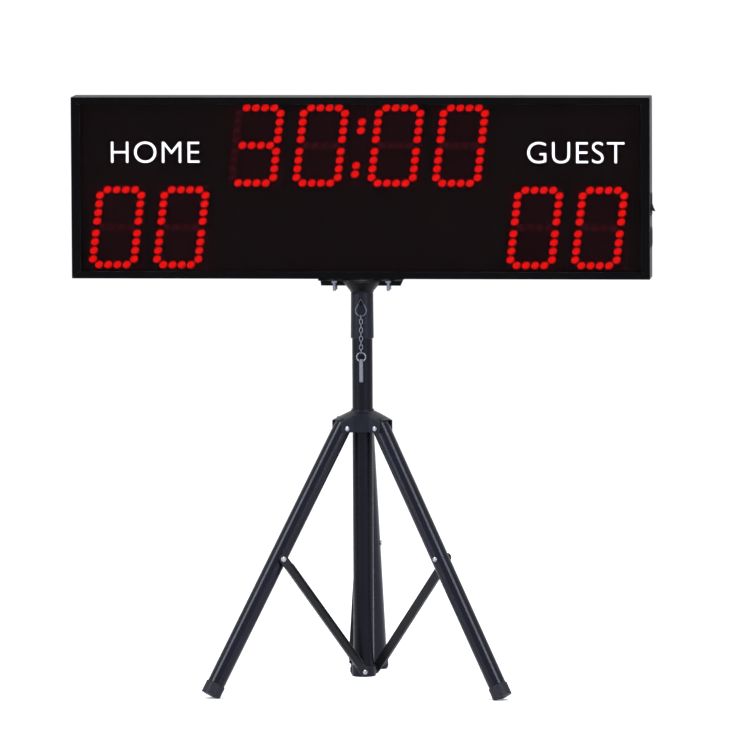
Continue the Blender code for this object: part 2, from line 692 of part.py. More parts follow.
def build_inlet(case):
    wall_face = DISPLAY_WIDTH / 2
    height = -DISPLAY_HEIGHT / 2 + INLET_HEIGHT
    thick = INLET_FLANGE[0]
    long, body_wide, body_tall = INLET_BODY
    flange = box(INLET_FLANGE, (GAP + thick / 2, 0.0, 0.0), bevel=FLANGE_BEVEL)
    body = box((long, body_wide, body_tall), (GAP + thick / 2 - long / 2, 0.0, 0.0))
    pocket = box((INLET_POCKET * 2, body_wide - 2 * INLET_WALL, body_tall - 2 * INLET_WALL),
                 (GAP + thick, 0.0, 0.0))
    shell = cut(join(flange, body), pocket)
    floor = GAP + thick - INLET_POCKET
    reach = INLET_PIN[0]
    stagger = INLET_PIN_STAGGER
    pins = [box(INLET_PIN, (floor + reach / 2 - INLET_PIN_ROOT, y, z))
            for y, z in ((stagger, -INLET_PIN_PITCH), (-stagger, 0.0), (stagger, INLET_PIN_PITCH))]
    shell = join(shell, merged(pins))
    place(shell, "power_inlet", SWITCH_BLACK, case, (wall_face, 0.0, height))


def build_bracket(case):
    """Plate with ribs, a stamped skirt and a socket that turns on the riser."""
    plate = box((BRACKET_WIDTH, BRACKET_DEPTH, BRACKET_PLATE), (0.0, 0.0, PLATE_TOP - BRACKET_PLATE / 2),
                bevel=PLATE_BEVEL)
    half, low, root = BRACKET_WIDTH / 2 - PLATE_MARGIN, -RIB_DEPTH, RIB_ROOT
    long_rib = outline([(-half, root), (-half + RIB_START, low), (half - RIB_END, low), (half, root)],
                       RIB_THICKNESS)
    turn_mesh(long_rib, Matrix.Translation((0, 0, PLATE_UNDER)) @ Matrix.Rotation(math.pi / 2, 4, "X"))
    short = BRACKET_DEPTH / 2 - PLATE_MARGIN
    cross_rib = outline([(-short, root), (-short + RIB_END, low), (short - RIB_END, low), (short, root)],
                        RIB_THICKNESS)
    turn_mesh(cross_rib, Matrix.Translation((0, 0, PLATE_UNDER)) @ Matrix.Rotation(math.pi / 2, 4, "Z")
              @ Matrix.Rotation(math.pi / 2, 4, "X"))
    socket = RISER_RADIUS + SLIDE_GAP + SOCKET_WALL
    skirt = turned([(0.0, PLATE_UNDER + root), (SKIRT_RADIUS, PLATE_UNDER + root),
                    (SKIRT_RADIUS, PLATE_UNDER - SKIRT_RIM),
                    (SKIRT_RADIUS - SKIRT_FLARE, PLATE_UNDER - SKIRT_HEIGHT),
                    (socket + SOCKET_FILLET, SOCKET_BOTTOM + SOCKET_COLLAR), (socket, SOCKET_BOTTOM),
                    (0.0, SOCKET_BOTTOM)], TUBE_SIDES)
    body = join(plate, long_rib, cross_rib, skirt)
    bore = rod(RISER_RADIUS + SLIDE_GAP, (0.0, 0.0, SOCKET_BOTTOM - OVERCUT), (0.0, 0.0, PLATE_UNDER),
               TUBE_SIDES)
    under, over = PLATE_UNDER - OVERCUT, PLATE_TOP + OVERCUT
    holes = [rod(BOLT_RADIUS + GAP, (x, y, under), (x, y, over), FASTENER_SIDES)
             for x in (-BOLT_X, BOLT_X) for y in (-BOLT_Y, BOLT_Y)]
    body = cut(body, bore, merged(holes))
    drop = Matrix.Translation((0.0, 0.0, -DISPLAY_CENTRE))
    place(turn_mesh(body, drop), "pole_bracket", STEEL_BLACK, case)
    build_bracket_bolts(case)


def build_bracket_bolts(case):
    """Machine screws with their nuts run up: head in the case, thread end below the plate."""
    floor = DISPLAY_BOTTOM + RAIL_WALL + GAP
    tip = DISPLAY_BOTTOM - BOLT_TIP
    nut_top = PLATE_UNDER - GAP
    head_top, edge = floor + BOLT_HEAD_HEIGHT, EDGE_BREAK
    shank = turned([(0.0, head_top), (BOLT_HEAD_RADIUS - edge, head_top), (BOLT_HEAD_RADIUS, head_top - edge),
                    (BOLT_HEAD_RADIUS, floor), (BOLT_RADIUS, floor), (BOLT_RADIUS, tip + edge),
                    (BOLT_RADIUS - edge, tip), (0.0, tip)], FASTENER_SIDES)
    nut = rod(NUT_RADIUS, (0.0, 0.0, nut_top - NUT_HEIGHT), (0.0, 0.0, nut_top), 6)
    bolt = join(shank, nut)
    turn_mesh(bolt, Matrix.Translation((0.0, 0.0, -DISPLAY_CENTRE)))
    first = None
    for depth, y in (("front", -BOLT_Y), ("rear", BOLT_Y)):
        for side, x in (("left", -BOLT_X), ("right", BOLT_X)):
            name = depth + "_" + side + "_bracket_bolt"
            if first is None:
                first = place(bolt, name, ZINC, case, (x, y, 0.0))
            else:
                repeat(first, name, case, (x, y, 0.0))


def build_riser(riser):
    pipe = tube(RISER_RADIUS, RISER_RADIUS - RISER_WALL, RISER_BOTTOM, RISER_TOP, TUBE_SIDES)
    # Raised by one, two or more pitches, a hole stands just above the sleeve for the safety pin
    locked = SLEEVE_TOP + RISER_HOLE_RADIUS
    holes = []
    for step in range(1, RISER_HOLES + 1):
        height = locked - step * RISER_HOLE_PITCH
        holes.append(rod(RISER_HOLE_RADIUS, (0.0, -BORE_REACH, height), (0.0, BORE_REACH, height),
                         FASTENER_SIDES))
    pipe = cut(pipe, merged(holes))
    place(pipe, "riser_tube", ZINC_GREY, riser)


def knob_outline():
    """A round grip with shallow lobes."""
    points = []
    for step in range(KNOB_POINTS):
        angle = 2 * math.pi * step / KNOB_POINTS
        radius = KNOB_RADIUS + KNOB_LOBE * math.cos(KNOB_LOBES * angle)
        points.append((radius * math.cos(angle), radius * math.sin(angle)))
    return points


def knob(stud_length):
    """A grip with neck and stud, its stud pointing down -Z from the seat at z = 0."""
    grip = turn_mesh(outline(knob_outline(), KNOB_LENGTH),
                     Matrix.Translation((0.0, 0.0, KNOB_NECK + KNOB_LENGTH / 2)))
    neck = rod(KNOB_NECK_RADIUS, (0.0, 0.0, 0.0), (0.0, 0.0, KNOB_NECK + KNOB_ROOT))
    stud = rod(STUD_RADIUS, (0.0, 0.0, -stud_length), (0.0, 0.0, KNOB_ROOT), FASTENER_SIDES)
    return join(grip, neck, stud)


def build_column(mast):
    pipe = tube(COLUMN_RADIUS, COLUMN_BORE, COLUMN_BOTTOM, COLUMN_TOP, TUBE_SIDES)
    place(pipe, "column_tube", TUBE_BLACK, mast)
    fit, mouth = COLUMN_FIT, RISER_RADIUS + SLIDE_GAP
    shell = turned([(mouth, SLEEVE_TOP), (SLEEVE_TOP_RADIUS - EDGE_BREAK, SLEEVE_TOP),
                    (SLEEVE_TOP_RADIUS, SLEEVE_TOP - EDGE_BREAK),
                    (SLEEVE_FOOT_RADIUS, SLEEVE_BOTTOM + SLEEVE_LIP * 2),
                    (SLEEVE_FOOT_RADIUS, SLEEVE_BOTTOM + SLEEVE_LIP / 2),
                    (SLEEVE_FOOT_RADIUS - SLEEVE_LIP / 2, SLEEVE_BOTTOM), (fit, SLEEVE_BOTTOM),
                    (fit, SLEEVE_TOP - SLEEVE_CAP), (mouth, SLEEVE_TOP - SLEEVE_CAP)], TUBE_SIDES,
                   closed=True)
    boss = rod(BOSS_RADIUS, (0.0, COLUMN_FIT + GAP, SLEEVE_KNOB_HEIGHT),
               (0.0, BOSS_REACH, SLEEVE_KNOB_HEIGHT))
    stud_hole = rod(STUD_RADIUS + GAP, (0.0, 0.0, SLEEVE_KNOB_HEIGHT),
                    (0.0, BOSS_REACH + OVERCUT, SLEEVE_KNOB_HEIGHT), FASTENER_SIDES)
    screw_hole = rod(HOOK_SCREW_RADIUS + GAP, (0.0, 0.0, HOOK_SCREW_HEIGHT),
                     (0.0, -BORE_REACH, HOOK_SCREW_HEIGHT), FASTENER_SIDES)
    shell = cut(join(shell, boss), merged([stud_hole, screw_hole]))
    place(shell, "top_sleeve", PLASTIC_BLACK, mast)
    seat = empty("sleeve_knob_axis", mast, (0.0, BOSS_REACH + GAP, SLEEVE_KNOB_HEIGHT),
                 (-math.pi / 2, 0.0, 0.0))
    clamp = knob(BOSS_REACH + GAP - COLUMN_FIT)
    place(clamp, "sleeve_knob", PLASTIC_BLACK, seat)


def teardrop():
    """Closed wire path of the hook: two straight sides from the top, and a round bowl."""
    half = math.asin(HOOK_BOWL / HOOK_SIDE)
    bowl = arc((0.0, HOOK_BOWL_HEIGHT), HOOK_BOWL, half, -math.pi - half, HOOK_ARC_STEPS)
    return [(x, PIN_PLANE, z) for x, z in [(0.0, HOOK_TOP)] + bowl]


def link_path(top, length, flat):
    """One chain link: flat links face the front, the others stand edge on."""
    radius = LINK_HALF_WIDTH
    upper = arc((0.0, top - radius), radius, 0.0, math.pi, LINK_ARC_STEPS)
    lower = arc((0.0, top - length + radius), radius, math.pi, 2 * math.pi, LINK_ARC_STEPS)
    if flat:
        return [(across, PIN_PLANE, z) for across, z in upper + lower]
    return [(0.0, PIN_PLANE + across, z) for across, z in upper + lower]


def build_pin_chain(mast):
    screw_end = -COLUMN_FIT
    head = PIN_PLANE - HOOK_WIRE - 2 * GAP
    tip = head - HOOK_SCREW_HEAD_LENGTH - screw_end
    screw = turned([(0.0, 0.0), (HOOK_SCREW_HEAD - EDGE_BREAK, 0.0), (HOOK_SCREW_HEAD, -EDGE_BREAK),
                    (HOOK_SCREW_HEAD, -HOOK_SCREW_HEAD_LENGTH), (HOOK_SCREW_RADIUS, -HOOK_SCREW_HEAD_LENGTH),
                    (HOOK_SCREW_RADIUS, tip), (0.0, tip)], PEG_SIDES)
    place(screw, "hook_screw", STEEL_BLACK, mast, (0.0, head - HOOK_SCREW_HEAD_LENGTH, HOOK_SCREW_HEIGHT),
          (math.pi / 2, 0.0, 0.0))
    hook_axis = empty("hook_axis", mast, (0.0, PIN_PLANE, HOOK_SCREW_HEIGHT))
    hook = turn_mesh(wire(teardrop(), HOOK_WIRE), Matrix.Translation(-hook_axis.location))
    place(hook, "chain_hook", ZINC, hook_axis)
    chain_top = HOOK_BOWL_WIRE + HOOK_WIRE + LINK_WIRE + GAP
    chain_bottom = RING_TOP - RING_WIRE - LINK_WIRE - GAP
    hold = 2 * LINK_WIRE - LINK_BITE
    length = (chain_top - chain_bottom + (LINK_COUNT - 1) * hold) / LINK_COUNT
    links = [wire(link_path(chain_top - number * (length - hold), length, number % 2 == 1), LINK_WIRE)
             for number in range(LINK_COUNT)]
    chain = join(links[0], *links[1:])
    # Each piece swings about the wire that it hangs by, so its slack stays the same as it turns
    chain_axis = empty("chain_axis", hook_axis, (0.0, 0.0, chain_top - HOOK_SCREW_HEIGHT))
    turn_mesh(chain, Matrix.Translation((0.0, -PIN_PLANE, -chain_top)))
    place(chain, "pin_chain", ZINC, chain_axis)
    ring_axis = empty("ring_axis", chain_axis, (0.0, 0.0, chain_bottom - chain_top))
    ring_centre = RING_TOP - RING_RADIUS - chain_bottom
    circle = arc((0.0, ring_centre), RING_RADIUS, 0.0, 2 * math.pi, RING_STEPS)[:-1]
    ring = wire([(x, 0.0, z) for x, z in circle], RING_WIRE)
    place(ring, "pin_ring", ZINC, ring_axis)
    pin_axis = empty("pin_axis", ring_axis, (0.0, 0.0, ring_centre - RING_RADIUS))
    eye = RING_RISE / 2
    top = eye + PIN_EYE + PIN_SHOULDER
    bottom = top - PIN_LENGTH
    pin = turned([(0.0, top), (PIN_RADIUS - EDGE_BREAK, top), (PIN_RADIUS, top - EDGE_BREAK),
                  (PIN_RADIUS, bottom + PIN_CHAMFER), (PIN_RADIUS - PIN_CHAMFER, bottom), (0.0, bottom)],
                 PEG_SIDES)
    pin = cut(pin, rod(PIN_EYE, (-OVERCUT, 0.0, eye), (OVERCUT, 0.0, eye)))
    place(pin, "safety_pin", ZINC, pin_axis)


def leg_frames(parent):
    """One turned handle for each leg, its X axis pointing out along the leg."""
    return {name: empty(name + "_side", parent, rotation=(0.0, 0.0, math.radians(azimuth)))
            for name, azimuth in LEG_AZIMUTHS.items()}


def hub_outline():
    """Plan of the hub: three arms with flat plates between them."""
    points = []
    for azimuth in sorted(LEG_AZIMUTHS.values()):
        turn = math.radians(azimuth)
        along = Vector((math.cos(turn), math.sin(turn)))
        across = Vector((-math.sin(turn), math.cos(turn)))
        points.append(HUB_ARM_REACH * along - CHEEK_FACE * across)
        points.append(HUB_ARM_REACH * along + CHEEK_FACE * across)
        between = turn + math.pi / 3
        normal = Vector((math.cos(between), math.sin(between)))
        side = Vector((-math.sin(between), math.cos(between)))
        half = (HUB_FLAT * math.cos(math.radians(30.0)) - CHEEK_FACE) / math.sin(math.radians(30.0))
        points.append(HUB_FLAT * normal - half * side)
        points.append(HUB_FLAT * normal + half * side)
    return [(point.x, point.y) for point in points]


def leg_slot():
    """Cutter for one yoke: open below and outwards, round over the end of the leg."""
    pivot = (LEG_PIVOT_REACH, LEG_PIVOT_HEIGHT)
    open_rise = math.acos(HUB_ARM_END / SLOT_HALF)
    roof = arc(pivot, SLOT_HALF, math.pi, open_rise, YOKE_ARC_STEPS)
    low, out = HUB_BOTTOM - OVERCUT, HUB_ARM_REACH + OVERCUT
    shape = [(LEG_PIVOT_REACH - SLOT_HALF, low)] + roof + [(out, roof[-1][1]), (out, low)]
    return turn_mesh(outline(shape, 2 * SLOT_HALF), Matrix.Rotation(math.pi / 2, 4, "X"))


def build_hub(hub):
    """Moulded hub: a neck on the column, three yokes for the legs and plates between."""
    middle = (HUB_BOTTOM + HUB_NECK_TOP) / 2
    prism = turn_mesh(outline(hub_outline(), HUB_NECK_TOP - HUB_BOTTOM), Matrix.Translation((0, 0, middle)))
    slope = (HUB_SHOULDER - HUB_ARM_TOP) / (HUB_ARM_REACH - HUB_NECK_RADIUS)
    reach = HUB_ARM_REACH + CHEEK_FACE
    dome = turned([(0.0, HUB_NECK_TOP), (HUB_NECK_RADIUS - EDGE_BREAK, HUB_NECK_TOP),
                   (HUB_NECK_RADIUS, HUB_NECK_TOP - EDGE_BREAK), (HUB_NECK_RADIUS, HUB_SHOULDER),
                   (reach, HUB_SHOULDER - slope * (reach - HUB_NECK_RADIUS)), (reach, HUB_BOTTOM),
                   (0.0, HUB_BOTTOM)], TUBE_SIDES)
    body = combine(prism, dome, "INTERSECT")
    for name, azimuth in LEG_AZIMUTHS.items():
        turn = Matrix.Rotation(math.radians(azimuth), 4, "Z")
        body = cut(body, turn_mesh(leg_slot(), turn))
        drill = rod(PIVOT_HOLE, (LEG_PIVOT_REACH, -BORE_REACH, LEG_PIVOT_HEIGHT),
                    (LEG_PIVOT_REACH, BORE_REACH, LEG_PIVOT_HEIGHT), FASTENER_SIDES)
        body = cut(body, turn_mesh(as_mesh(drill), turn))
    bore = rod(COLUMN_FIT, (0.0, 0.0, HUB_BOTTOM - OVERCUT), (0.0, 0.0, HUB_NECK_TOP + OVERCUT), TUBE_SIDES)
    way = Vector((math.cos(HUB_KNOB_AZIMUTH), math.sin(HUB_KNOB_AZIMUTH), 0.0))
    level = Vector((0.0, 0.0, HUB_KNOB_HEIGHT))
    stud_hole = rod(STUD_RADIUS + GAP, level, level + way * (HUB_FLAT + OVERCUT), FASTENER_SIDES)
    body = cut(body, bore, stud_hole)
    place(body, "leg_hub", PLASTIC_BLACK, hub)
    seat = empty("hub_knob_axis", hub, level + way * (HUB_FLAT + GAP))
    seat.rotation_euler = way.to_track_quat("Z", "Y").to_euler()
    place(knob(HUB_FLAT - COLUMN_FIT), "hub_knob", PLASTIC_BLACK, seat)


def cross_bolt(low, high, shank, head, head_height, collar=None):
    """A fastener along Y with a domed head at the low end and its tail or spacer at the high end."""
    crown, shoulder = head * HEAD_CROWN, head * HEAD_SHOULDER
    top, waist = head_height * HEAD_SHOULDER, head_height * HEAD_CROWN
    profile = [(0.0, -low + head_height), (crown, -low + top), (shoulder, -low + waist), (head, -low),
               (shank, -low)]
    if collar is None:
        profile += [(shank, -high), (head, -high), (shoulder, -high - waist), (crown, -high - top),
                    (0.0, -high - head_height)]
    else:
        radius, start = collar
        profile += [(shank, -start), (radius, -start), (radius, -high), (0.0, -high)]
    return turn_mesh(turned(profile, FASTENER_SIDES), Matrix.Rotation(math.pi / 2, 4, "X"))


def leg_tube():
    """A leg from its pivot down, its top end rounded about the pivot and drilled across."""
    pipe = tube(LEG_RADIUS, LEG_RADIUS - LEG_WALL, -LEG_LENGTH, LEG_RADIUS + OVERCUT, LEG_SIDES)
    side = LEG_RADIUS + 2 * OVERCUT
    rounding = arc((0.0, 0.0), LEG_RADIUS, 0.0, math.pi, LEG_SIDES // 2)
    block = rounding + [(-side, 0.0), (-side, side), (side, side), (side, 0.0)]
    trim = turn_mesh(outline(block, 4 * LEG_RADIUS), Matrix.Rotation(math.pi / 2, 4, "X"))
    drills = [rod(PIVOT_HOLE, (0.0, -BORE_REACH, height), (0.0, BORE_REACH, height), FASTENER_SIDES)
              for height in (0.0, -STRUT_JOIN)]
    return cut(pipe, trim, merged(drills))


def foot_cap():
    """Rubber cup on the leg's end, with the flat that it stands on."""
    top = -FOOT_REACH + FOOT_LENGTH
    cup = turned([(LEG_RADIUS + GAP, top), (FOOT_RADIUS - FOOT_LIP, top), (FOOT_RADIUS, top - FOOT_LIP),
                  (FOOT_RADIUS, -FOOT_REACH), (0.0, -FOOT_REACH), (0.0, -FOOT_REACH + FOOT_BASE),
                  (LEG_RADIUS + GAP, -FOOT_REACH + FOOT_BASE)], LEG_SIDES, closed=True)
    block = (4 * FOOT_LENGTH, 4 * FOOT_LENGTH, 2 * FOOT_LENGTH)
    ground = as_mesh(box(block, (FOOT_AXIS_REACH, 0.0, -FOOT_LENGTH)))
    lean = Matrix.Rotation(-LEG_TILT, 4, "Y")
    to_leg = (Matrix.Translation((LEG_PIVOT_REACH, 0.0, LEG_PIVOT_HEIGHT)) @ lean).inverted()
    return cut(cup, turn_mesh(ground, to_leg))


def build_legs(frames):
    leg = cap = bolt = rivet = None
    pivot = (LEG_PIVOT_REACH, 0.0, LEG_PIVOT_HEIGHT)
    for name, frame in frames.items():
        axis = empty(name + "_leg_axis", frame, pivot, (0.0, -LEG_TILT, 0.0))
        join_at = (0.0, 0.0, -STRUT_JOIN)
        if leg is None:
            leg = place(leg_tube(), name + "_leg", TUBE_BLACK, axis)
            cap = place(foot_cap(), name + "_foot", RUBBER, axis)
            bolt = cross_bolt(-CHEEK_FACE - GAP, CHEEK_FACE + GAP, PIVOT_RADIUS, RIVET_HEAD_RADIUS,
                              RIVET_HEAD_HEIGHT)
            bolt = place(bolt, name + "_leg_bolt", ZINC, frame, pivot)
            rivet = cross_bolt(-LEG_RADIUS - GAP, STRUT_FACE - GAP, PIVOT_RADIUS, RIVET_HEAD_RADIUS,
                               RIVET_HEAD_HEIGHT, (SPACER_RADIUS, LEG_RADIUS + GAP))
            rivet = place(rivet, name + "_leg_rivet", ZINC, axis, join_at)
        else:
            repeat(leg, name + "_leg", axis)
            repeat(cap, name + "_foot", axis)
            repeat(bolt, name + "_leg_bolt", frame, pivot)
            repeat(rivet, name + "_leg_rivet", axis, join_at)


def strut_bar():
    """A pressed channel with flat round ends; the head of its upper rivet closes the top hole."""
    half = STRUT_WIDTH / 2
    ends = arc((0.0, 0.0), half, math.pi, 2 * math.pi, STRUT_ARC_STEPS)
    ends += arc((0.0, STRUT_LENGTH), half, 0.0, math.pi, STRUT_ARC_STEPS)
    web = turn_mesh(outline(ends, STRUT_WEB), Matrix.Translation((0.0, 0.0, STRUT_WEB / 2)))
    half_run, bite = STRUT_LENGTH / 2 - STRUT_FLAT_END, WELD_DEPTH
    flanges = []
    for side in (-1, 1):
        rim = outline([(-half_run - STRUT_FLANGE, bite), (-half_run, STRUT_FLANGE + STRUT_WEB),
                       (half_run, STRUT_FLANGE + STRUT_WEB), (half_run + STRUT_FLANGE, bite)],
                      STRUT_FLANGE_WALL)
        stand = Matrix(((0, 0, 1, side * (half - STRUT_FLANGE_WALL / 2 - bite)), (1, 0, 0, STRUT_LENGTH / 2),
                        (0, 1, 0, 0.0), (0, 0, 0, 1)))
        flanges.append(turn_mesh(rim, stand))
    head = rod(RIVET_HEAD_RADIUS, (0.0, STRUT_LENGTH, STRUT_WEB - bite),
               (0.0, STRUT_LENGTH, STRUT_WEB + RIVET_HEAD_HEIGHT), PEG_SIDES, RIVET_HEAD_RADIUS * HEAD_CROWN)
    hole = rod(PIVOT_HOLE, (0.0, 0.0, -OVERCUT), (0.0, 0.0, OVERCUT), FASTENER_SIDES)
    bar = cut(join(web, merged(flanges), head), hole)
    # Stand the bar up: its length along Z, its web facing the leg, its flanges outwards along Y
    return turn_mesh(bar, Matrix(((-1, 0, 0, 0), (0, 0, 1, STRUT_FACE), (0, 1, 0, 0), (0, 0, 0, 1))))


def build_struts(frames):
    bar = rivet = None
    foot = (STRUT_FOOT_REACH, 0.0, STRUT_FOOT_HEIGHT)
    lean = (0.0, STRUT_TILT, 0.0)
    for name, frame in frames.items():
        axis = empty(name + "_strut_axis", frame, foot)
        if bar is None:
            bar = place(strut_bar(), name + "_strut", TUBE_BLACK, axis, rotation=lean)
            outer = STRUT_FACE + STRUT_WEB + GAP
            rivet = cross_bolt(-outer, -EAR_FACE + RIVET_DEPTH - GAP, PIVOT_RADIUS, RIVET_HEAD_RADIUS,
                               RIVET_HEAD_HEIGHT, (PIVOT_RADIUS, -EAR_FACE))
            turn_mesh(rivet, Matrix.Rotation(math.pi, 4, "Z"))
            rivet = place(rivet, name + "_collar_rivet", ZINC, frame, foot)
        else:
            repeat(bar, name + "_strut", axis, rotation=lean)
            repeat(rivet, name + "_collar_rivet", frame, foot)


def build_lower_collar(mast):
    """Cup on the column's foot with one ear for each strut."""
    edge = COLLAR_CHAMFER
    ring = turned([(0.0, COLLAR_TOP), (COLLAR_RADIUS - edge, COLLAR_TOP), (COLLAR_RADIUS, COLLAR_TOP - edge),
                   (COLLAR_RADIUS, COLLAR_BOTTOM + edge), (COLLAR_RADIUS - edge, COLLAR_BOTTOM),
                   (0.0, COLLAR_BOTTOM)], TUBE_SIDES)
    ears, drills = [], []
    for azimuth in LEG_AZIMUTHS.values():
        turn = Matrix.Rotation(math.radians(azimuth), 4, "Z")
        shape = arc((STRUT_FOOT_REACH, STRUT_FOOT_HEIGHT), EAR_RADIUS, -math.pi / 2, math.pi / 2,
                    STRUT_ARC_STEPS)
        shape += [(0.0, STRUT_FOOT_HEIGHT + EAR_RADIUS), (0.0, STRUT_FOOT_HEIGHT - EAR_RADIUS)]
        ear = turn_mesh(outline(shape, EAR_THICKNESS), Matrix.Rotation(math.pi / 2, 4, "X"))
        ears.append(turn_mesh(ear, turn @ Matrix.Translation((0.0, EAR_FACE - EAR_THICKNESS / 2, 0.0))))
        drill = rod(PIVOT_HOLE, (STRUT_FOOT_REACH, EAR_FACE - RIVET_DEPTH, STRUT_FOOT_HEIGHT),
                    (STRUT_FOOT_REACH, EAR_FACE + OVERCUT, STRUT_FOOT_HEIGHT), FASTENER_SIDES)
        drills.append(turn_mesh(as_mesh(drill), turn))
        trim = box((2 * COLLAR_RADIUS, OVERCUT, 2 * (COLLAR_TOP - COLLAR_BOTTOM)),
                   (0.0, EAR_FACE + OVERCUT / 2, STRUT_FOOT_HEIGHT))
        drills.append(turn_mesh(as_mesh(trim), turn))
    body = join(ring, *ears)
    bore = rod(COLUMN_FIT, (0.0, 0.0, COLUMN_BOTTOM - GAP), (0.0, 0.0, COLLAR_TOP + OVERCUT), TUBE_SIDES)
    body = cut(body, bore, *drills)
    place(body, "lower_collar", PLASTIC_BLACK, mast)


def build_all():
    # The origin lies under the middle of the whole object's box, on the floor
    stand = empty("tripod", location=(-ROCKER_PROUD / 2, (FRONT_REACH - REAR_REACH) / 2, 0.0))
    mast = empty("mast", stand)
    riser = empty("riser", mast)
    case = empty("display", riser, (0.0, 0.0, DISPLAY_CENTRE))
    hub = empty("hub", mast)
    build_frame(case)
    build_corner_keys(case)
    build_panels(case)
    build_digits(case)
    build_electronics(case)
    build_switch(case)
    build_inlet(case)
    build_bracket(case)
    build_riser(riser)
    build_column(mast)
    build_pin_chain(mast)
    build_lower_collar(mast)
    build_hub(hub)
    build_legs(leg_frames(hub))
    build_struts(leg_frames(mast))


clear_scene()
PARTS = collection("game_clock_on_tripod")
FRAME_BLACK = finish_material("frame_black", (0.030, 0.030, 0.033), 0.38, 0.2)
ALUMINIUM = finish_material("aluminium", (0.62, 0.63, 0.64), 0.35, 1.0)
WINDOW_TINT = finish_material("window_tint", (0.020, 0.012, 0.014), 0.12)
PANEL_BLACK = finish_material("panel_black", (0.012, 0.012, 0.013), 0.60)
BOARD_BLACK = finish_material("led_board", (0.10, 0.012, 0.010), 0.35)
BOARD_GREEN = finish_material("control_board_green", (0.02, 0.13, 0.05), 0.45)
COVER_GREY = finish_material("rear_cover_grey", (0.045, 0.045, 0.048), 0.50)
SWITCH_BLACK = finish_material("switch_black", (0.010, 0.010, 0.010), 0.40)
STEEL_BLACK = finish_material("steel_black", (0.020, 0.020, 0.022), 0.42)
TUBE_BLACK = finish_material("tube_black", (0.022, 0.022, 0.026), 0.25)
PLASTIC_BLACK = finish_material("plastic_black", (0.030, 0.030, 0.034), 0.45)
ZINC = finish_material("bright_zinc", (0.68, 0.69, 0.71), 0.28, 1.0)
ZINC_GREY = finish_material("satin_zinc", (0.42, 0.43, 0.45), 0.35, 1.0)
RUBBER = finish_material("foot_rubber", (0.014, 0.014, 0.015), 0.70)
build_all()
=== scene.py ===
"""Looks of a wide LED game clock on a folding tripod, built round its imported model."""

import math

import bpy
from bpy.props import FloatProperty, FloatVectorProperty, PointerProperty, StringProperty
from bpy.types import Operator, Panel, PropertyGroup
from mathutils import Matrix, Quaternion, Vector


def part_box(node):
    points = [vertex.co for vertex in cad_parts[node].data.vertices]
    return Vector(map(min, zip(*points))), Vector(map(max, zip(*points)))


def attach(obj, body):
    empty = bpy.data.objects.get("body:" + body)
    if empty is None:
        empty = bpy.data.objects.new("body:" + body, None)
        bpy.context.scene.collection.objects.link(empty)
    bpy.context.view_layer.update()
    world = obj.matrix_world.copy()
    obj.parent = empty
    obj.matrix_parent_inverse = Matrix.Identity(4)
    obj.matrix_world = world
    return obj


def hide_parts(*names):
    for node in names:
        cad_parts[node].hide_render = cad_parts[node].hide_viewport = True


bl_info = {
    "name": "Game clock looks",
    "version": (1, 0, 0),
    "blender": (4, 5, 0),
    "location": "3D View > Sidebar > Game clock",
    "description": "Dresses the packed model of a wide LED game clock on a folding tripod",
    "category": "Object",
}

PHOTO_SIDE = 730

# Where the digit boards' LEDs stand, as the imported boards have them
ROW_PITCH = 0.01435
ROW_HEIGHTS = (-0.0584, 0.0, 0.0584)
COLUMN_PITCH = 0.01345
COLUMN_START = 0.00935
COLUMN_SIDE = 0.0322
LEAN = 0.120
LEDS_IN_SEGMENT = 4
COLON_LEAN = 0.140
COLON_HEIGHTS = (-0.044525, -0.031075, 0.023075, 0.036525)

# Where the legs point, in degrees round the mast
LEG_AZIMUTHS = {"left": 210.0, "right": -30.0, "rear": 90.0}
# From the end of a leg's rivet, along its axis, to the face of the strut that the cap sits on
STRUT_WEB_FACE = 0.0022
# Share of a cap's height that is round
CAP_ROUND = 0.7

# The angle between the rocker's two flats
ROCKER_TURN = math.radians(22.0)
# The round at the corners of the mark for on, over its stroke
MARK_ROUND = 0.3

# How far the long axis of the oval lenses is turned up from the row
LENS_TILT = math.radians(30.0)
LENS_SIDES = 20
# Share of the lens that is straight, and then the width and the rise of each ring of its dome
LENS_STRAIGHT = 0.45
LENS_RINGS = ((0.84, 0.55), (0.45, 0.45))
# Strength of the light of each zone of a lit LED, from its flange to its core
LED_POWERS = {"led_rim": 0.30, "led_glow": 1.50, "led_core": 1.90}

# The boards' broken edges, across and forward, and how far their screws are let in
BOARD_EDGE = 0.0006
BOARD_CROWN = 0.0002
SCREW_SINK = 0.0001
# The gap behind the printed words
PRINT_GAP = 0.00002

# The rear cover's screws: pairs along it, and the turn in degrees from each to the next
COVER_COLUMNS = 7
COVER_SCREW_TURN = 37.0
# Length of each stroke of their cross recess, over the head's radius
RECESS_LENGTH = 1.1

# The inlet's three contacts, across and up from its middle
BLADE_PLACES = ((0.0020, -0.0070), (-0.0020, 0.0), (0.0020, 0.0070))

UP = Vector((0.0, 0.0, 1.0))
TO_FRONT = Vector((0.0, -1.0, 0.0))
TO_RIGHT = Vector((1.0, 0.0, 0.0))

# Place, size and power in watts of each lamp
LAMPS = {
    "left_lamp": ((-2.6, -2.1, 1.9), (0.8, 3.0), 125.0),
    "right_lamp": ((2.2, -2.4, 2.0), (0.8, 3.0), 125.0),
    "top_lamp": ((0.0, 0.6, 3.4), (2.6, 1.2), 30.0),
}
LAMP_TARGET = Vector((0.0, 0.0, 0.5))
LAMP_COLOUR = (0.82, 0.86, 1.0)
SKY_COLOUR = (0.97, 0.98, 1.0, 1.0)
SKY_POWER = 1.12
WHITE = (1.0, 1.0, 1.0, 1.0)
DUST_COLOUR = (0.32, 0.31, 0.30, 1.0)
FLOOR_HEIGHT = -0.0003

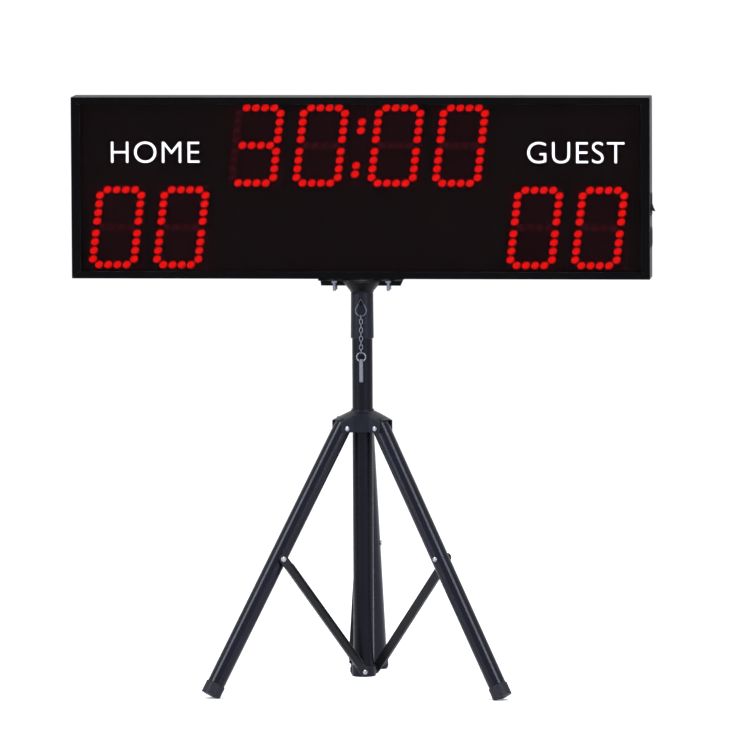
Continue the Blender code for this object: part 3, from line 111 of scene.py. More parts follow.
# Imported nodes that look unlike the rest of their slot
NODE_FINISHES = {
    "front_left_bracket_bolt": "dull_zinc",
    "front_right_bracket_bolt": "dull_zinc",
    "rear_left_bracket_bolt": "dull_zinc",
    "rear_right_bracket_bolt": "dull_zinc",
    "chain_hook": "dark_zinc",
    "pin_chain": "dull_zinc",
    "pin_ring": "dull_zinc",
    "safety_pin": "dull_zinc",
    "column_tube": "column_black",
    "left_strut": "strut_black",
    "right_strut": "strut_black",
    "rear_strut": "strut_black",
}
ALL_ROWS = (0, 1, 2)
ALL_COLUMNS = ((-1, -1), (-1, 1), (1, -1), (1, 1))
SHAPES = {
    "0": ((0, 2), ALL_COLUMNS),
    "3": (ALL_ROWS, ((1, -1), (1, 1))),
}
READING = {
    "clock_minutes_tens_board": "3",
    "clock_minutes_units_board": "0",
    "clock_seconds_tens_board": "0",
    "clock_seconds_units_board": "0",
    "home_score_tens_board": "0",
    "home_score_units_board": "0",
    "guest_score_tens_board": "0",
    "guest_score_units_board": "0",
}

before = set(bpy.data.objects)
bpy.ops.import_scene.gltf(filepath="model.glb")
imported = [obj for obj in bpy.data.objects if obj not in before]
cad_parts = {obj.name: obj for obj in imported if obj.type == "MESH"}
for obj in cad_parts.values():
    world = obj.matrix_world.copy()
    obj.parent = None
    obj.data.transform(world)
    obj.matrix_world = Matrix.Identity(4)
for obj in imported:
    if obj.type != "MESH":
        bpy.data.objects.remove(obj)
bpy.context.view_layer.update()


class LedSizes(PropertyGroup):
    flange_radius: FloatProperty(name="Flange radius", description="Radius of the ring at an LED's foot",
                                 default=0.0067, unit="LENGTH")
    flange_height: FloatProperty(name="Flange height", description="Thickness of the ring at an LED's foot",
                                 default=0.0010, unit="LENGTH")
    lens_radius: FloatProperty(name="Lens radius", description="Middle radius of an LED's oval lens",
                               default=0.0056, unit="LENGTH")
    lens_stretch: FloatProperty(name="Lens stretch", description="Half length of a lens over that radius",
                                default=1.17)
    lens_height: FloatProperty(name="Lens height", description="Height of an LED over its board",
                               default=0.0042, unit="LENGTH")
    screw_radius: FloatProperty(name="Screw head radius", description="Radius of a board screw's head",
                                default=0.0024, unit="LENGTH")
    screw_height: FloatProperty(name="Screw head height", description="Height of a board screw's head",
                                default=0.0012, unit="LENGTH")
    dimple_inset: FloatProperty(name="Dimple inset", description="From the head's flat to its dimple",
                                default=0.0009, unit="LENGTH")
    dimple_depth: FloatProperty(name="Dimple depth", description="Depth of the dimple, and the edge's round",
                                default=0.0005, unit="LENGTH")
    screw_inset: FloatProperty(name="Screw inset", description="Distance of a board screw from both edges",
                               default=0.0055, unit="LENGTH")


class LabelSizes(PropertyGroup):
    home_words: StringProperty(name="Home words", description="Words over the home score", default="HOME")
    guest_words: StringProperty(name="Guest words", description="Words over the guest score",
                                default="GUEST")
    cap_height: FloatProperty(name="Capital height", description="Height of a printed capital",
                              default=0.033, unit="LENGTH")
    thickness: FloatProperty(name="Print thickness", description="Thickness of the printed layer",
                             default=0.00012, unit="LENGTH")
    spacing: FloatProperty(name="Letter spacing", description="Space of the letters, 1 for the font's own",
                           default=1.08)
    thinning: FloatProperty(name="Thinning", description="How far the strokes are drawn in, for a size of 1",
                            default=0.012)
    rise: FloatProperty(name="Rise", description="Height of the words' middle over the window's middle",
                        default=0.0556, unit="LENGTH")
    home_middle: FloatProperty(name="Home words' place", description="Middle of the home words, across",
                               default=-0.3186, unit="LENGTH")
    guest_middle: FloatProperty(name="Guest words' place", description="Middle of the guest words, across",
                                default=0.3355, unit="LENGTH")


class ScrewSizes(PropertyGroup):
    head_radius: FloatProperty(name="Head radius", description="Radius of a cover screw's head",
                               default=0.0032, unit="LENGTH")
    head_height: FloatProperty(name="Head height", description="Height of a cover screw's head",
                               default=0.0019, unit="LENGTH")
    recess_width: FloatProperty(name="Recess width", description="Width of the cross recess",
                                default=0.0009, unit="LENGTH")
    edge_inset: FloatProperty(name="Edge inset", description="Distance of the screws from the cover's edge",
                              default=0.0085, unit="LENGTH")


class RivetSizes(PropertyGroup):
    cap_radius: FloatProperty(name="Cap radius", description="Radius of the cap on a strut's rivet",
                              default=0.0046, unit="LENGTH")
    cap_height: FloatProperty(name="Cap height", description="Height of the cap on a strut's rivet",
                              default=0.0026, unit="LENGTH")


class MarkSizes(PropertyGroup):
    height: FloatProperty(name="Mark height", description="Height of the marks on the rocker",
                          default=0.0036, unit="LENGTH")
    stroke: FloatProperty(name="Stroke", description="Width of the marks' strokes", default=0.0007,
                          unit="LENGTH")
    thickness: FloatProperty(name="Mark thickness", description="Thickness of the marks, half of it sunk",
                             default=0.00020, unit="LENGTH")


class BladeSizes(PropertyGroup):
    width: FloatProperty(name="Blade width", description="Thickness of a contact blade", default=0.0024,
                         unit="LENGTH")
    height: FloatProperty(name="Blade height", description="Height of a contact blade", default=0.0052,
                          unit="LENGTH")
    length: FloatProperty(name="Blade length", description="Length of a contact blade", default=0.0112,
                          unit="LENGTH")
    taper: FloatProperty(name="Taper", description="Width and depth of the taper at a blade's tip",
                         default=0.0005, unit="LENGTH")
    tip_depth: FloatProperty(name="Tip depth", description="Depth of the blades' tips in the inlet",
                             default=0.0034, unit="LENGTH")


class Colours(PropertyGroup):
    enamel: FloatVectorProperty(name="Enamel", description="Gloss black enamel of the tubes",
                                subtype="COLOR", default=(0.0012, 0.0014, 0.0045))
    column: FloatVectorProperty(name="Column", description="Black paint of the column and the struts",
                                subtype="COLOR", default=(0.0017, 0.0018, 0.0036))
    frame_paint: FloatVectorProperty(name="Frame paint", description="Satin black of the case's frame",
                                     subtype="COLOR", default=(0.0008, 0.0007, 0.0009))
    nylon: FloatVectorProperty(name="Nylon", description="Moulded black nylon", subtype="COLOR",
                               default=(0.0028, 0.0031, 0.0062))
    window: FloatVectorProperty(name="Window", description="Smoked acrylic", subtype="COLOR",
                                default=(0.0030, 0.0014, 0.0014))
    zinc: FloatVectorProperty(name="Zinc", description="Bright zinc plate", subtype="COLOR",
                              default=(0.29, 0.30, 0.32))
    lit: FloatVectorProperty(name="Lit LED", description="Light of a lit LED", subtype="COLOR",
                             default=(1.0, 0.0045, 0.0035))
    unlit: FloatVectorProperty(name="Unlit LED", description="Lens of an LED that is off",
                               subtype="COLOR", default=(0.048, 0.0015, 0.0055))
    words: FloatVectorProperty(name="Words", description="White print", subtype="COLOR",
                               default=(0.80, 0.77, 0.77))


class StageSizes(PropertyGroup):
    azimuth: FloatProperty(name="Azimuth", description="The camera's angle round the clock",
                           default=math.radians(5.2), subtype="ANGLE")
    elevation: FloatProperty(name="Elevation", description="The camera's angle over the horizon",
                             default=math.radians(5.12), subtype="ANGLE")
    roll: FloatProperty(name="Roll", description="The camera's turn about its own line of sight",
                        default=math.radians(-0.28), subtype="ANGLE")
    distance: FloatProperty(name="Distance", description="The camera's distance", default=14.0,
                            unit="LENGTH")
    zoom: FloatProperty(name="Zoom", description="The photograph's focal length in pixels",
                        default=8978.0)
    target: FloatVectorProperty(name="Target", description="The point in the middle of the view",
                                default=(-0.0025, -0.030, 0.5037), subtype="XYZ")
    floor_side: FloatProperty(name="Floor side", description="Length of the floor's side", default=60.0,
                              unit="LENGTH")


def clear_selection():
    if bpy.context.object is not None and bpy.context.object.mode != "OBJECT":
        bpy.ops.object.mode_set(mode="OBJECT")
    bpy.ops.object.select_all(action="DESELECT")


def choose(obj):
    clear_selection()
    obj.select_set(True)
    bpy.context.view_layer.objects.active = obj


def settle():
    bpy.ops.object.transform_apply(location=True, rotation=True, scale=True)


def named(name):
    obj = bpy.context.object
    obj.name = name
    obj.data.name = name
    return obj


def cylinder(name, sides, radius, height, material):
    """An upright cylinder with its foot at the origin."""
    clear_selection()
    bpy.ops.mesh.primitive_cylinder_add(vertices=sides, radius=radius, depth=height,
                                        location=(0.0, 0.0, height / 2))
    made = named(name)
    made.data.materials.append(material)
    settle()
    return made


def block(name, middle, size, material):
    clear_selection()
    bpy.ops.mesh.primitive_cube_add(size=1.0, location=middle, scale=size)
    made = named(name)
    made.data.materials.append(material)
    settle()
    return made


def select_facing(obj, direction, least=0.9, both_ways=False):
    """Selects in edit mode the faces whose normals lie along a direction, or nearly."""
    bpy.ops.object.mode_set(mode="OBJECT")
    for vert in obj.data.vertices:
        vert.select = False
    for edge in obj.data.edges:
        edge.select = False
    for face in obj.data.polygons:
        share = face.normal.dot(direction)
        face.select = share > least or both_ways and share < -least
    bpy.ops.object.mode_set(mode="EDIT")
    bpy.ops.mesh.select_mode(type="FACE")


def bevel_facing(obj, direction, offset, segments, both_ways=False):
    """Rounds the edges of the faces that lie along a direction."""
    select_facing(obj, direction, both_ways=both_ways)
    bpy.ops.mesh.bevel(offset=offset, segments=segments, affect="EDGES")
    bpy.ops.object.mode_set(mode="OBJECT")


def extrude(offset):
    bpy.ops.mesh.extrude_region_move(TRANSFORM_OT_translate={"value": offset})


def widen(across, up):
    """Stretches the selection about the origin, along X and Y."""
    bpy.ops.transform.resize(value=(across, up, 1.0), center_override=(0.0, 0.0, 0.0))


def cut(obj, cutter):
    """Takes a cutter's shape out of a piece."""
    choose(obj)
    bpy.ops.object.modifier_add(type="BOOLEAN")
    hole = obj.modifiers[-1]
    hole.object = cutter
    hole.operation = "DIFFERENCE"
    bpy.ops.object.modifier_apply(modifier=hole.name)
    remove(cutter)


def copy_of(obj, offset):
    """A copy with a mesh of its own, moved by offset."""
    choose(obj)
    bpy.ops.object.duplicate(linked=False)
    made = bpy.context.object
    bpy.ops.transform.translate(value=offset)
    return made


def join(name, parts):
    choose(parts[0])
    for part in parts:
        part.select_set(True)
    bpy.ops.object.join()
    settle()
    return named(name)


def aim(obj, direction, place):
    """Points a piece that was modelled along +Z in a direction, at a place."""
    choose(obj)
    obj.rotation_euler = direction.to_track_quat("Z", "Y").to_euler()
    obj.location = place
    settle()


def turn_to_front(obj):
    """Turns a piece modelled along +Z so that it faces the viewer, along -Y."""
    choose(obj)
    obj.rotation_euler = (math.radians(90.0), 0.0, 0.0)
    settle()


def remove(*objects):
    for obj in objects:
        bpy.data.objects.remove(obj)


def group(name, inputs, outputs):
    """An empty shader node group with its sockets, and its input and output nodes."""
    made = bpy.data.node_groups.new(name, "ShaderNodeTree")
    for label, kind, default in inputs:
        socket = made.interface.new_socket(name=label, in_out="INPUT", socket_type=kind)
        socket.default_value = default
    for label, kind in outputs:
        made.interface.new_socket(name=label, in_out="OUTPUT", socket_type=kind)
    entry = made.nodes.new("NodeGroupInput")
    leave = made.nodes.new("NodeGroupOutput")
    return made, entry, leave


def node(tree, kind, **values):
    made = tree.nodes.new(kind)
    for key, value in values.items():
        setattr(made, key, value)
    return made


def connect(tree, value, socket):
    """Links a socket to an input, or sets the input to a value."""
    if isinstance(value, bpy.types.NodeSocket):
        tree.links.new(value, socket)
    else:
        socket.default_value = value


def mix_colour(tree, share, first, second):
    made = node(tree, "ShaderNodeMix", data_type="RGBA")
    for index, value in ((0, share), (6, first), (7, second)):
        connect(tree, value, made.inputs[index])
    return made.outputs[2]


def maths(tree, operation, *values):
    made = node(tree, "ShaderNodeMath", operation=operation)
    for socket, value in zip(made.inputs, values):
        connect(tree, value, socket)
    return made.outputs[0]


def spread(tree, value, low, high, start=0.0, end=1.0):
    """A value that runs from low to high, made to run from start to end."""
    made = node(tree, "ShaderNodeMapRange")
    for label, given in (("Value", value), ("From Min", low), ("From Max", high), ("To Min", start),
                         ("To Max", end)):
        connect(tree, given, made.inputs[label])
    return made.outputs["Result"]


def noise(tree, scale, detail):
    """Noise over the object's own coordinates."""
    place = node(tree, "ShaderNodeTexCoord")
    made = node(tree, "ShaderNodeTexNoise")
    connect(tree, place.outputs["Object"], made.inputs["Vector"])
    connect(tree, scale, made.inputs["Scale"])
    connect(tree, detail, made.inputs["Detail"])
    return made.outputs["Fac"]


def tone_group():
    """A colour that drifts a little between two tones, over large and small patches."""
    made, entry, leave = group(
        "Tone", [("Tone A", "NodeSocketColor", (0.5, 0.5, 0.5, 1.0)),
                 ("Tone B", "NodeSocketColor", (0.5, 0.5, 0.5, 1.0)),
                 ("Patch Scale", "NodeSocketFloat", 30.0)],
        [("Color", "NodeSocketColor")])
    patches = spread(made, noise(made, entry.outputs["Patch Scale"], 4.0), 0.3, 0.7)
    shown = mix_colour(made, patches, entry.outputs["Tone A"], entry.outputs["Tone B"])
    connect(made, shown, leave.inputs["Color"])
    return made


def grain_group():
    """Fine and coarse grain as a height from 0 to 1, and a roughness that follows the coarse grain."""
    made, entry, leave = group(
        "Grain", [("Fine Scale", "NodeSocketFloat", 1500.0),
                  ("Coarse Scale", "NodeSocketFloat", 150.0),
                  ("Roughness Low", "NodeSocketFloat", 0.3),
                  ("Roughness High", "NodeSocketFloat", 0.4)],
        [("Height", "NodeSocketFloat"), ("Roughness", "NodeSocketFloat")])
    fine = noise(made, entry.outputs["Fine Scale"], 2.0)
    coarse = noise(made, entry.outputs["Coarse Scale"], 5.0)
    height = maths(made, "MULTIPLY_ADD", fine, 0.6, maths(made, "MULTIPLY", coarse, 0.4))
    connect(made, height, leave.inputs["Height"])
    rough = spread(made, coarse, 0.35, 0.65, entry.outputs["Roughness Low"],
                   entry.outputs["Roughness High"])
    connect(made, rough, leave.inputs["Roughness"])
    return made


def wear_group():
    """Rounded edges as a normal, and a mask of where their coat has worn, broken up by noise."""
    made, entry, leave = group(
        "Edge wear", [("Amount", "NodeSocketFloat", 0.5), ("Radius", "NodeSocketFloat", 0.0007)],
        [("Mask", "NodeSocketFloat"), ("Normal", "NodeSocketVector")])
    shape = node(made, "ShaderNodeNewGeometry")
    rounded = node(made, "ShaderNodeBevel", samples=6)
    connect(made, entry.outputs["Radius"], rounded.inputs["Radius"])
    connect(made, rounded.outputs["Normal"], leave.inputs["Normal"])
    same = node(made, "ShaderNodeVectorMath", operation="DOT_PRODUCT")
    connect(made, rounded.outputs["Normal"], same.inputs[0])
    connect(made, shape.outputs["Normal"], same.inputs[1])
    edge = spread(made, same.outputs["Value"], 0.985, 0.90)
    broken = spread(made, noise(made, 90.0, 6.0), 0.48, 0.62)
    worn = maths(made, "MULTIPLY", maths(made, "MULTIPLY", edge, broken), entry.outputs["Amount"])
    connect(made, worn, leave.inputs["Mask"])
    return made


def dust_group():
    """A mask of thin dust on what faces up."""
    made, entry, leave = group("Dust", [("Amount", "NodeSocketFloat", 0.1)],
                               [("Mask", "NodeSocketFloat")])
    shape = node(made, "ShaderNodeNewGeometry")
    parts = node(made, "ShaderNodeSeparateXYZ")
    connect(made, shape.outputs["Normal"], parts.inputs[0])
    upward = spread(made, parts.outputs["Z"], 0.3, 1.0)
    film = maths(made, "MULTIPLY", upward, noise(made, 60.0, 8.0))
    connect(made, maths(made, "MULTIPLY", film, entry.outputs["Amount"]), leave.inputs["Mask"])
    return made


GROUP_MAKERS = {"Tone": tone_group, "Grain": grain_group, "Edge wear": wear_group, "Dust": dust_group}


def use_group(tree, name, **values):
    shared = bpy.data.node_groups.get(name) or GROUP_MAKERS[name]()
    made = node(tree, "ShaderNodeGroup", node_tree=shared)
    for key, value in values.items():
        connect(tree, value, made.inputs[key.replace("_", " ").title()])
    return made


def lighter(colour, factor):
    return tuple(min(1.0, part * factor) for part in colour) + (1.0,)


def finish_material(name, colour, drift=1.5, patch=30.0, fine=1500.0, coarse=150.0, rough=(0.3, 0.4),
                    bump=0.00004, strength=0.25, wear=0.0, worn=(0.35, 0.35, 0.36, 1.0), dust=0.08,
                    metallic=0.0, specular=0.5, alpha=1.0, rounding=0.0007):
    """A Principled material with drifting tone, grain, worn edges and a little dust.

    rounding is the radius over which the edges, and the flats of a tube, look round."""
    made = bpy.data.materials.new(name + "_finish")
    made.use_nodes = True
    tree = made.node_tree
    tree.nodes.clear()
    shader = node(tree, "ShaderNodeBsdfPrincipled")
    output = node(tree, "ShaderNodeOutputMaterial")
    tree.links.new(shader.outputs["BSDF"], output.inputs["Surface"])
    tone = use_group(tree, "Tone", tone_a=lighter(colour, 1.0), tone_b=lighter(colour, drift),
                     patch_scale=patch)
    grain = use_group(tree, "Grain", fine_scale=fine, coarse_scale=coarse, roughness_low=rough[0],
                      roughness_high=rough[1])
    shown = tone.outputs["Color"]
    relief = node(tree, "ShaderNodeBump")
    if wear:
        edges = use_group(tree, "Edge wear", amount=wear, radius=rounding)
        shown = mix_colour(tree, edges.outputs["Mask"], shown, worn)
        tree.links.new(edges.outputs["Normal"], relief.inputs["Normal"])
    if dust:
        film = use_group(tree, "Dust", amount=dust)
        shown = mix_colour(tree, film.outputs["Mask"], shown, DUST_COLOUR)
    tree.links.new(shown, shader.inputs["Base Color"])
    tree.links.new(grain.outputs["Roughness"], shader.inputs["Roughness"])
    relief.inputs["Strength"].default_value = strength
    relief.inputs["Distance"].default_value = bump
    tree.links.new(grain.outputs["Height"], relief.inputs["Height"])
    tree.links.new(relief.outputs["Normal"], shader.inputs["Normal"])
    shader.inputs["Metallic"].default_value = metallic
    shader.inputs["Specular IOR Level"].default_value = specular
    shader.inputs["Alpha"].default_value = alpha
    return made


def finishes(colours):
    """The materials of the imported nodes, by the record's slots and the names in NODE_FINISHES."""
    looks = {
        "tube_black": dict(
            colour=colours.enamel, drift=1.6, patch=18.0, fine=900.0, coarse=120.0, rough=(0.18, 0.24),
            bump=0.00003, strength=0.15, wear=0.10, dust=0.02, specular=0.17, rounding=0.0024),
        "column_black": dict(
            colour=colours.column, patch=18.0, fine=900.0, coarse=120.0, rough=(0.26, 0.34),
            bump=0.00003, strength=0.2, wear=0.10, dust=0.02, specular=0.09, rounding=0.0024),
        "strut_black": dict(
            colour=(0.0062, 0.0060, 0.0064), fine=1200.0, coarse=160.0, rough=(0.28, 0.38),
            bump=0.00003, strength=0.2, wear=0.15, dust=0.03, specular=0.13),
        "frame_black": dict(
            colour=colours.frame_paint, patch=25.0, fine=2600.0, coarse=200.0, rough=(0.34, 0.42),
            bump=0.00005, strength=0.35, wear=0.12, dust=0.03, specular=0.03),
        "plastic_black": dict(
            colour=colours.nylon, patch=40.0, fine=1800.0, coarse=260.0, rough=(0.32, 0.44),
            bump=0.00005, strength=0.35, wear=0.15, worn=(0.06, 0.06, 0.07, 1.0), dust=0.03,
            specular=0.12, rounding=0.0026),
        "steel_black": dict(
            colour=colours.frame_paint, drift=1.6, patch=40.0, coarse=220.0, rough=(0.26, 0.38),
            strength=0.3, wear=0.20, dust=0.02, specular=0.06, rounding=0.0026),
        "switch_black": dict(
            colour=colours.nylon, drift=1.3, patch=60.0, fine=1800.0, coarse=300.0, rough=(0.24, 0.32),
            bump=0.00003, strength=0.2, wear=0.05, dust=0.05, specular=0.15),
        "panel_black": dict(
            colour=(0.003, 0.002, 0.002), patch=20.0, fine=2200.0, rough=(0.70, 0.80), strength=0.3,
            dust=0.0, specular=0.04),
        "led_board": dict(
            colour=(0.0095, 0.0010, 0.0019), drift=1.7, patch=90.0, fine=900.0, coarse=200.0,
            rough=(0.75, 0.85), bump=0.00003, strength=0.3, dust=0.0, specular=0.03),
        "control_board_green": dict(
            colour=(0.010, 0.085, 0.030), drift=1.8, patch=220.0, fine=900.0, coarse=320.0,
            rough=(0.30, 0.42), bump=0.00003, strength=0.3, dust=0.0),
        "rear_cover_grey": dict(
            colour=(0.040, 0.041, 0.045), drift=1.14, patch=14.0, fine=2600.0, coarse=180.0,
            rough=(0.48, 0.60), bump=0.00005, strength=0.4, wear=0.3, dust=0.10),
        "aluminium": dict(
            colour=(0.62, 0.63, 0.64), drift=1.15, fine=1200.0, coarse=240.0, rough=(0.34, 0.46),
            bump=0.00003, dust=0.04, metallic=1.0),
        "bright_zinc": dict(
            colour=colours.zinc, drift=0.86, patch=160.0, fine=1400.0, coarse=500.0, rough=(0.22, 0.34),
            bump=0.00003, wear=0.04, dust=0.03, metallic=1.0, rounding=0.0006),
        "dull_zinc": dict(
            colour=(0.14, 0.145, 0.170), drift=0.84, patch=260.0, fine=1400.0, coarse=600.0,
            rough=(0.34, 0.48), bump=0.00003, strength=0.3, wear=0.04, dust=0.03, metallic=1.0,
            rounding=0.0010),
        "dark_zinc": dict(
            colour=(0.080, 0.083, 0.100), drift=0.84, patch=260.0, fine=1400.0, coarse=600.0,
            rough=(0.38, 0.52), bump=0.00003, strength=0.3, wear=0.04, dust=0.03, metallic=1.0,
            rounding=0.0010),
        "satin_zinc": dict(
            colour=(0.40, 0.41, 0.43), drift=0.8, patch=50.0, fine=1200.0, coarse=300.0,
            rough=(0.34, 0.46), bump=0.00003, wear=0.04, dust=0.04, metallic=1.0, rounding=0.0024),
        "foot_rubber": dict(
            colour=(0.0060, 0.0062, 0.0090), patch=90.0, fine=900.0, coarse=260.0, rough=(0.45, 0.60),
            bump=0.00008, strength=0.45, wear=0.2, worn=(0.05, 0.05, 0.05, 1.0), dust=0.03,
            specular=0.16, rounding=0.0020),
        "window_tint": dict(
            colour=colours.window, drift=1.3, patch=8.0, fine=400.0, coarse=40.0, rough=(0.10, 0.16),
            bump=0.00001, strength=0.05, dust=0.0, specular=0.03, alpha=0.36),
    }
    return {name: finish_material(name, **look) for name, look in looks.items()}


def lamp_material(name, colour, power):
    """The glowing part of a lit LED: its light is a little uneven, as through a frosted lens."""
    made = bpy.data.materials.new(name)
    made.use_nodes = True
    tree = made.node_tree
    shader = tree.nodes["Principled BSDF"]
    tone = use_group(tree, "Tone", tone_a=lighter(colour, 1.0), tone_b=lighter(colour, 0.88),
                     patch_scale=700.0)
    tree.links.new(tone.outputs["Color"], shader.inputs["Emission Color"])
    shader.inputs["Emission Strength"].default_value = power
    dark = use_group(tree, "Tone", tone_a=lighter(colour, 0.2), tone_b=lighter(colour, 0.14),
                     patch_scale=500.0)
    tree.links.new(dark.outputs["Color"], shader.inputs["Base Color"])
    grain = use_group(tree, "Grain", roughness_low=0.25, roughness_high=0.4)
    tree.links.new(grain.outputs["Roughness"], shader.inputs["Roughness"])
    shader.inputs["Specular IOR Level"].default_value = 0.05
    return made


def led_master(name, sizes, zones):
    """One LED along +Z with its foot at the origin: a flange, a straight part and a domed lens.

    zones are the materials of the flange, of the lens round its rim and of its core."""
    led = cylinder(name, LENS_SIDES, sizes.flange_radius, sizes.flange_height, zones[0])
    for zone in zones[1:]:
        led.data.materials.append(zone)
    select_facing(led, UP)
    bpy.ops.mesh.inset(thickness=sizes.flange_radius - sizes.lens_radius)
    bpy.ops.transform.rotate(value=LENS_TILT, orient_axis="Z", center_override=(0.0, 0.0, 0.0))
    widen(sizes.lens_stretch, 1.0 / sizes.lens_stretch)
    bpy.ops.transform.rotate(value=-LENS_TILT, orient_axis="Z", center_override=(0.0, 0.0, 0.0))
    straight = (sizes.lens_height - sizes.flange_height) * LENS_STRAIGHT
    rise = sizes.lens_height - sizes.flange_height - straight
    extrude((0.0, 0.0, straight))
    width = 1.0
    for share, step in LENS_RINGS:
        extrude((0.0, 0.0, rise * step))
        widen(share / width, share / width)
        width = share
    bpy.ops.object.mode_set(mode="OBJECT")
    shoulder = sizes.lens_height - rise / 2
    for face in led.data.polygons:
        height = face.center.z
        face.material_index = 2 if height > shoulder else int(height > sizes.flange_height * 1.1)
        face.use_smooth = face.material_index > 0
    turn_to_front(led)
    return led


def led_line(led, name, step):
    """A segment: LEDs in a line, step apart, about the origin."""
    choose(led)
    bpy.ops.object.duplicate(linked=False)
    line = named(name)
    bpy.ops.object.modifier_add(type="ARRAY")
    repeat = line.modifiers[-1]
    repeat.count = LEDS_IN_SEGMENT
    repeat.use_relative_offset = False
    repeat.use_constant_offset = True
    repeat.constant_offset_displace = step
    bpy.ops.object.modifier_apply(modifier=repeat.name)
    bpy.ops.transform.translate(value=Vector(step) * -(LEDS_IN_SEGMENT - 1) / 2)
    settle()
    return line


def board_screw(sizes, metal):
    """A small pan head with a dimple, along +Z, turned to the front."""
    screw = cylinder("board_screw", 12, sizes.screw_radius, sizes.screw_height, metal)
    bevel_facing(screw, UP, sizes.dimple_depth, 2)
    select_facing(screw, UP, 0.99)
    bpy.ops.mesh.inset(thickness=sizes.dimple_inset)
    extrude((0.0, 0.0, -sizes.dimple_depth))
    bpy.ops.object.mode_set(mode="OBJECT")
    turn_to_front(screw)
    return screw


def board_plate(name, low, high, front, mask):
    """A circuit board with broken edges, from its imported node's outline."""
    plate = block(name, ((low.x + high.x) / 2, (front + high.y) / 2, (low.z + high.z) / 2),
                  (high.x - low.x, high.y - front, high.z - low.z), mask)
    select_facing(plate, TO_FRONT)
    bpy.ops.mesh.inset(thickness=BOARD_EDGE)
    bpy.ops.transform.translate(value=(0.0, -BOARD_CROWN, 0.0))
    bpy.ops.object.mode_set(mode="OBJECT")
    return plate


class GAMECLOCK_OT_finishes(Operator):
    """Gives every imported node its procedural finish"""

    bl_idname = "gameclock.finishes"
    bl_label = "Finish the packed nodes"

    def execute(self, context):
        made = finishes(context.scene.gameclock_colours)
        for name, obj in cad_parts.items():
            slot = obj.data.materials[0].name.split(".")[0]
            if slot not in made:
                raise RuntimeError(f"{name} has the slot {slot}, which has no finish")
            obj.data.materials[0] = made[NODE_FINISHES.get(name, slot)]
        return {"FINISHED"}


class GAMECLOCK_OT_digits(Operator):
    """Models the LED boards: eight digits and the colon"""

    bl_idname = "gameclock.digits"
    bl_label = "LED boards"

    def execute(self, context):
        sizes = context.scene.gameclock_leds
        colours = context.scene.gameclock_colours
        mask = bpy.data.materials["led_board_finish"]
        off = finish_material("led_unlit", colours.unlit, drift=1.4, patch=300.0, coarse=400.0,
                              rough=(0.35, 0.50), bump=0.00002, strength=0.2, dust=0.0, specular=0.06)
        zones = {True: [lamp_material(name, colours.lit, power) for name, power in LED_POWERS.items()],
                 False: [off] * len(LED_POWERS)}
        leds = {lit: led_master("lit_led" if lit else "dark_led", sizes, zones[lit]) for lit in zones}
        steps = {"row": (ROW_PITCH, 0.0, 0.0), "column": (LEAN * COLUMN_PITCH, 0.0, COLUMN_PITCH)}
        lines = {(lit, way): led_line(led, way, step)
                 for lit, led in leds.items() for way, step in steps.items()}
        screw = board_screw(sizes, bpy.data.materials["steel_black_finish"])
        column_middle = COLUMN_START + COLUMN_PITCH * (LEDS_IN_SEGMENT - 1) / 2
        for name, digit in READING.items():
            rows, columns = SHAPES[digit]
            forms = [(lines[index in rows, "row"], LEAN * height, height)
                     for index, height in enumerate(ROW_HEIGHTS)]
            for side, end in ALL_COLUMNS:
                height = end * column_middle
                line = lines[(side, end) in columns, "column"]
                forms.append((line, side * COLUMN_SIDE + LEAN * height, height))
            self.board(name, sizes, mask, forms, screw, (-1, 1))
        forms = [(leds[True], COLON_LEAN * height, height) for height in COLON_HEIGHTS]
        self.board("colon_board", sizes, mask, forms, screw, (0,))
        remove(screw, *leds.values(), *lines.values())
        return {"FINISHED"}

    def board(self, packed, sizes, mask, forms, screw, sides):
        """A board with its LEDs, each a form with its place across and up, and its screws."""
        low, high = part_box(packed)
        middle = (low + high) / 2
        foot = low.y + sizes.lens_height
        name = packed.replace("_board", "_display")
        parts = [board_plate(name, low, high, foot, mask)]
        for form, across, up in forms:
            parts.append(copy_of(form, (middle.x + across, foot, middle.z + up)))
        for side in sides:
            across = middle.x + side * (middle.x - low.x - sizes.screw_inset)
            for z in (low.z + sizes.screw_inset, high.z - sizes.screw_inset):
                parts.append(copy_of(screw, (across, foot - SCREW_SINK, z)))
        board = join(name, parts)
        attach(board, "display")
        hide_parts(packed)


def print_words(name, words, sizes, ink):
    """Flat printed words as a thin mesh, centred on the origin and facing -Y."""
    clear_selection()
    bpy.ops.object.text_add(location=(0.0, 0.0, 0.0), rotation=(math.radians(90.0), 0.0, 0.0))
    text = bpy.context.object
    text.data.body = words
    text.data.align_x = "CENTER"
    text.data.space_character = sizes.spacing
    # Both halves together are 1 deep, for the scale to the print's thickness
    text.data.extrude = 0.5
    text.data.offset = -sizes.thinning
    text.data.resolution_u = 6
    bpy.ops.object.convert(target="MESH")
    made = named(name)
    settle()
    zs = [vert.co.z for vert in made.data.vertices]
    xs = [vert.co.x for vert in made.data.vertices]
    factor = sizes.cap_height / (max(zs) - min(zs))
    centre = Vector(((max(xs) + min(xs)) / 2, 0.0, (max(zs) + min(zs)) / 2))
    flatten = Matrix.Diagonal((factor, sizes.thickness, factor, 1.0))
    made.data.transform(flatten @ Matrix.Translation(-centre))
    made.data.materials.clear()
    made.data.materials.append(ink)
    return made


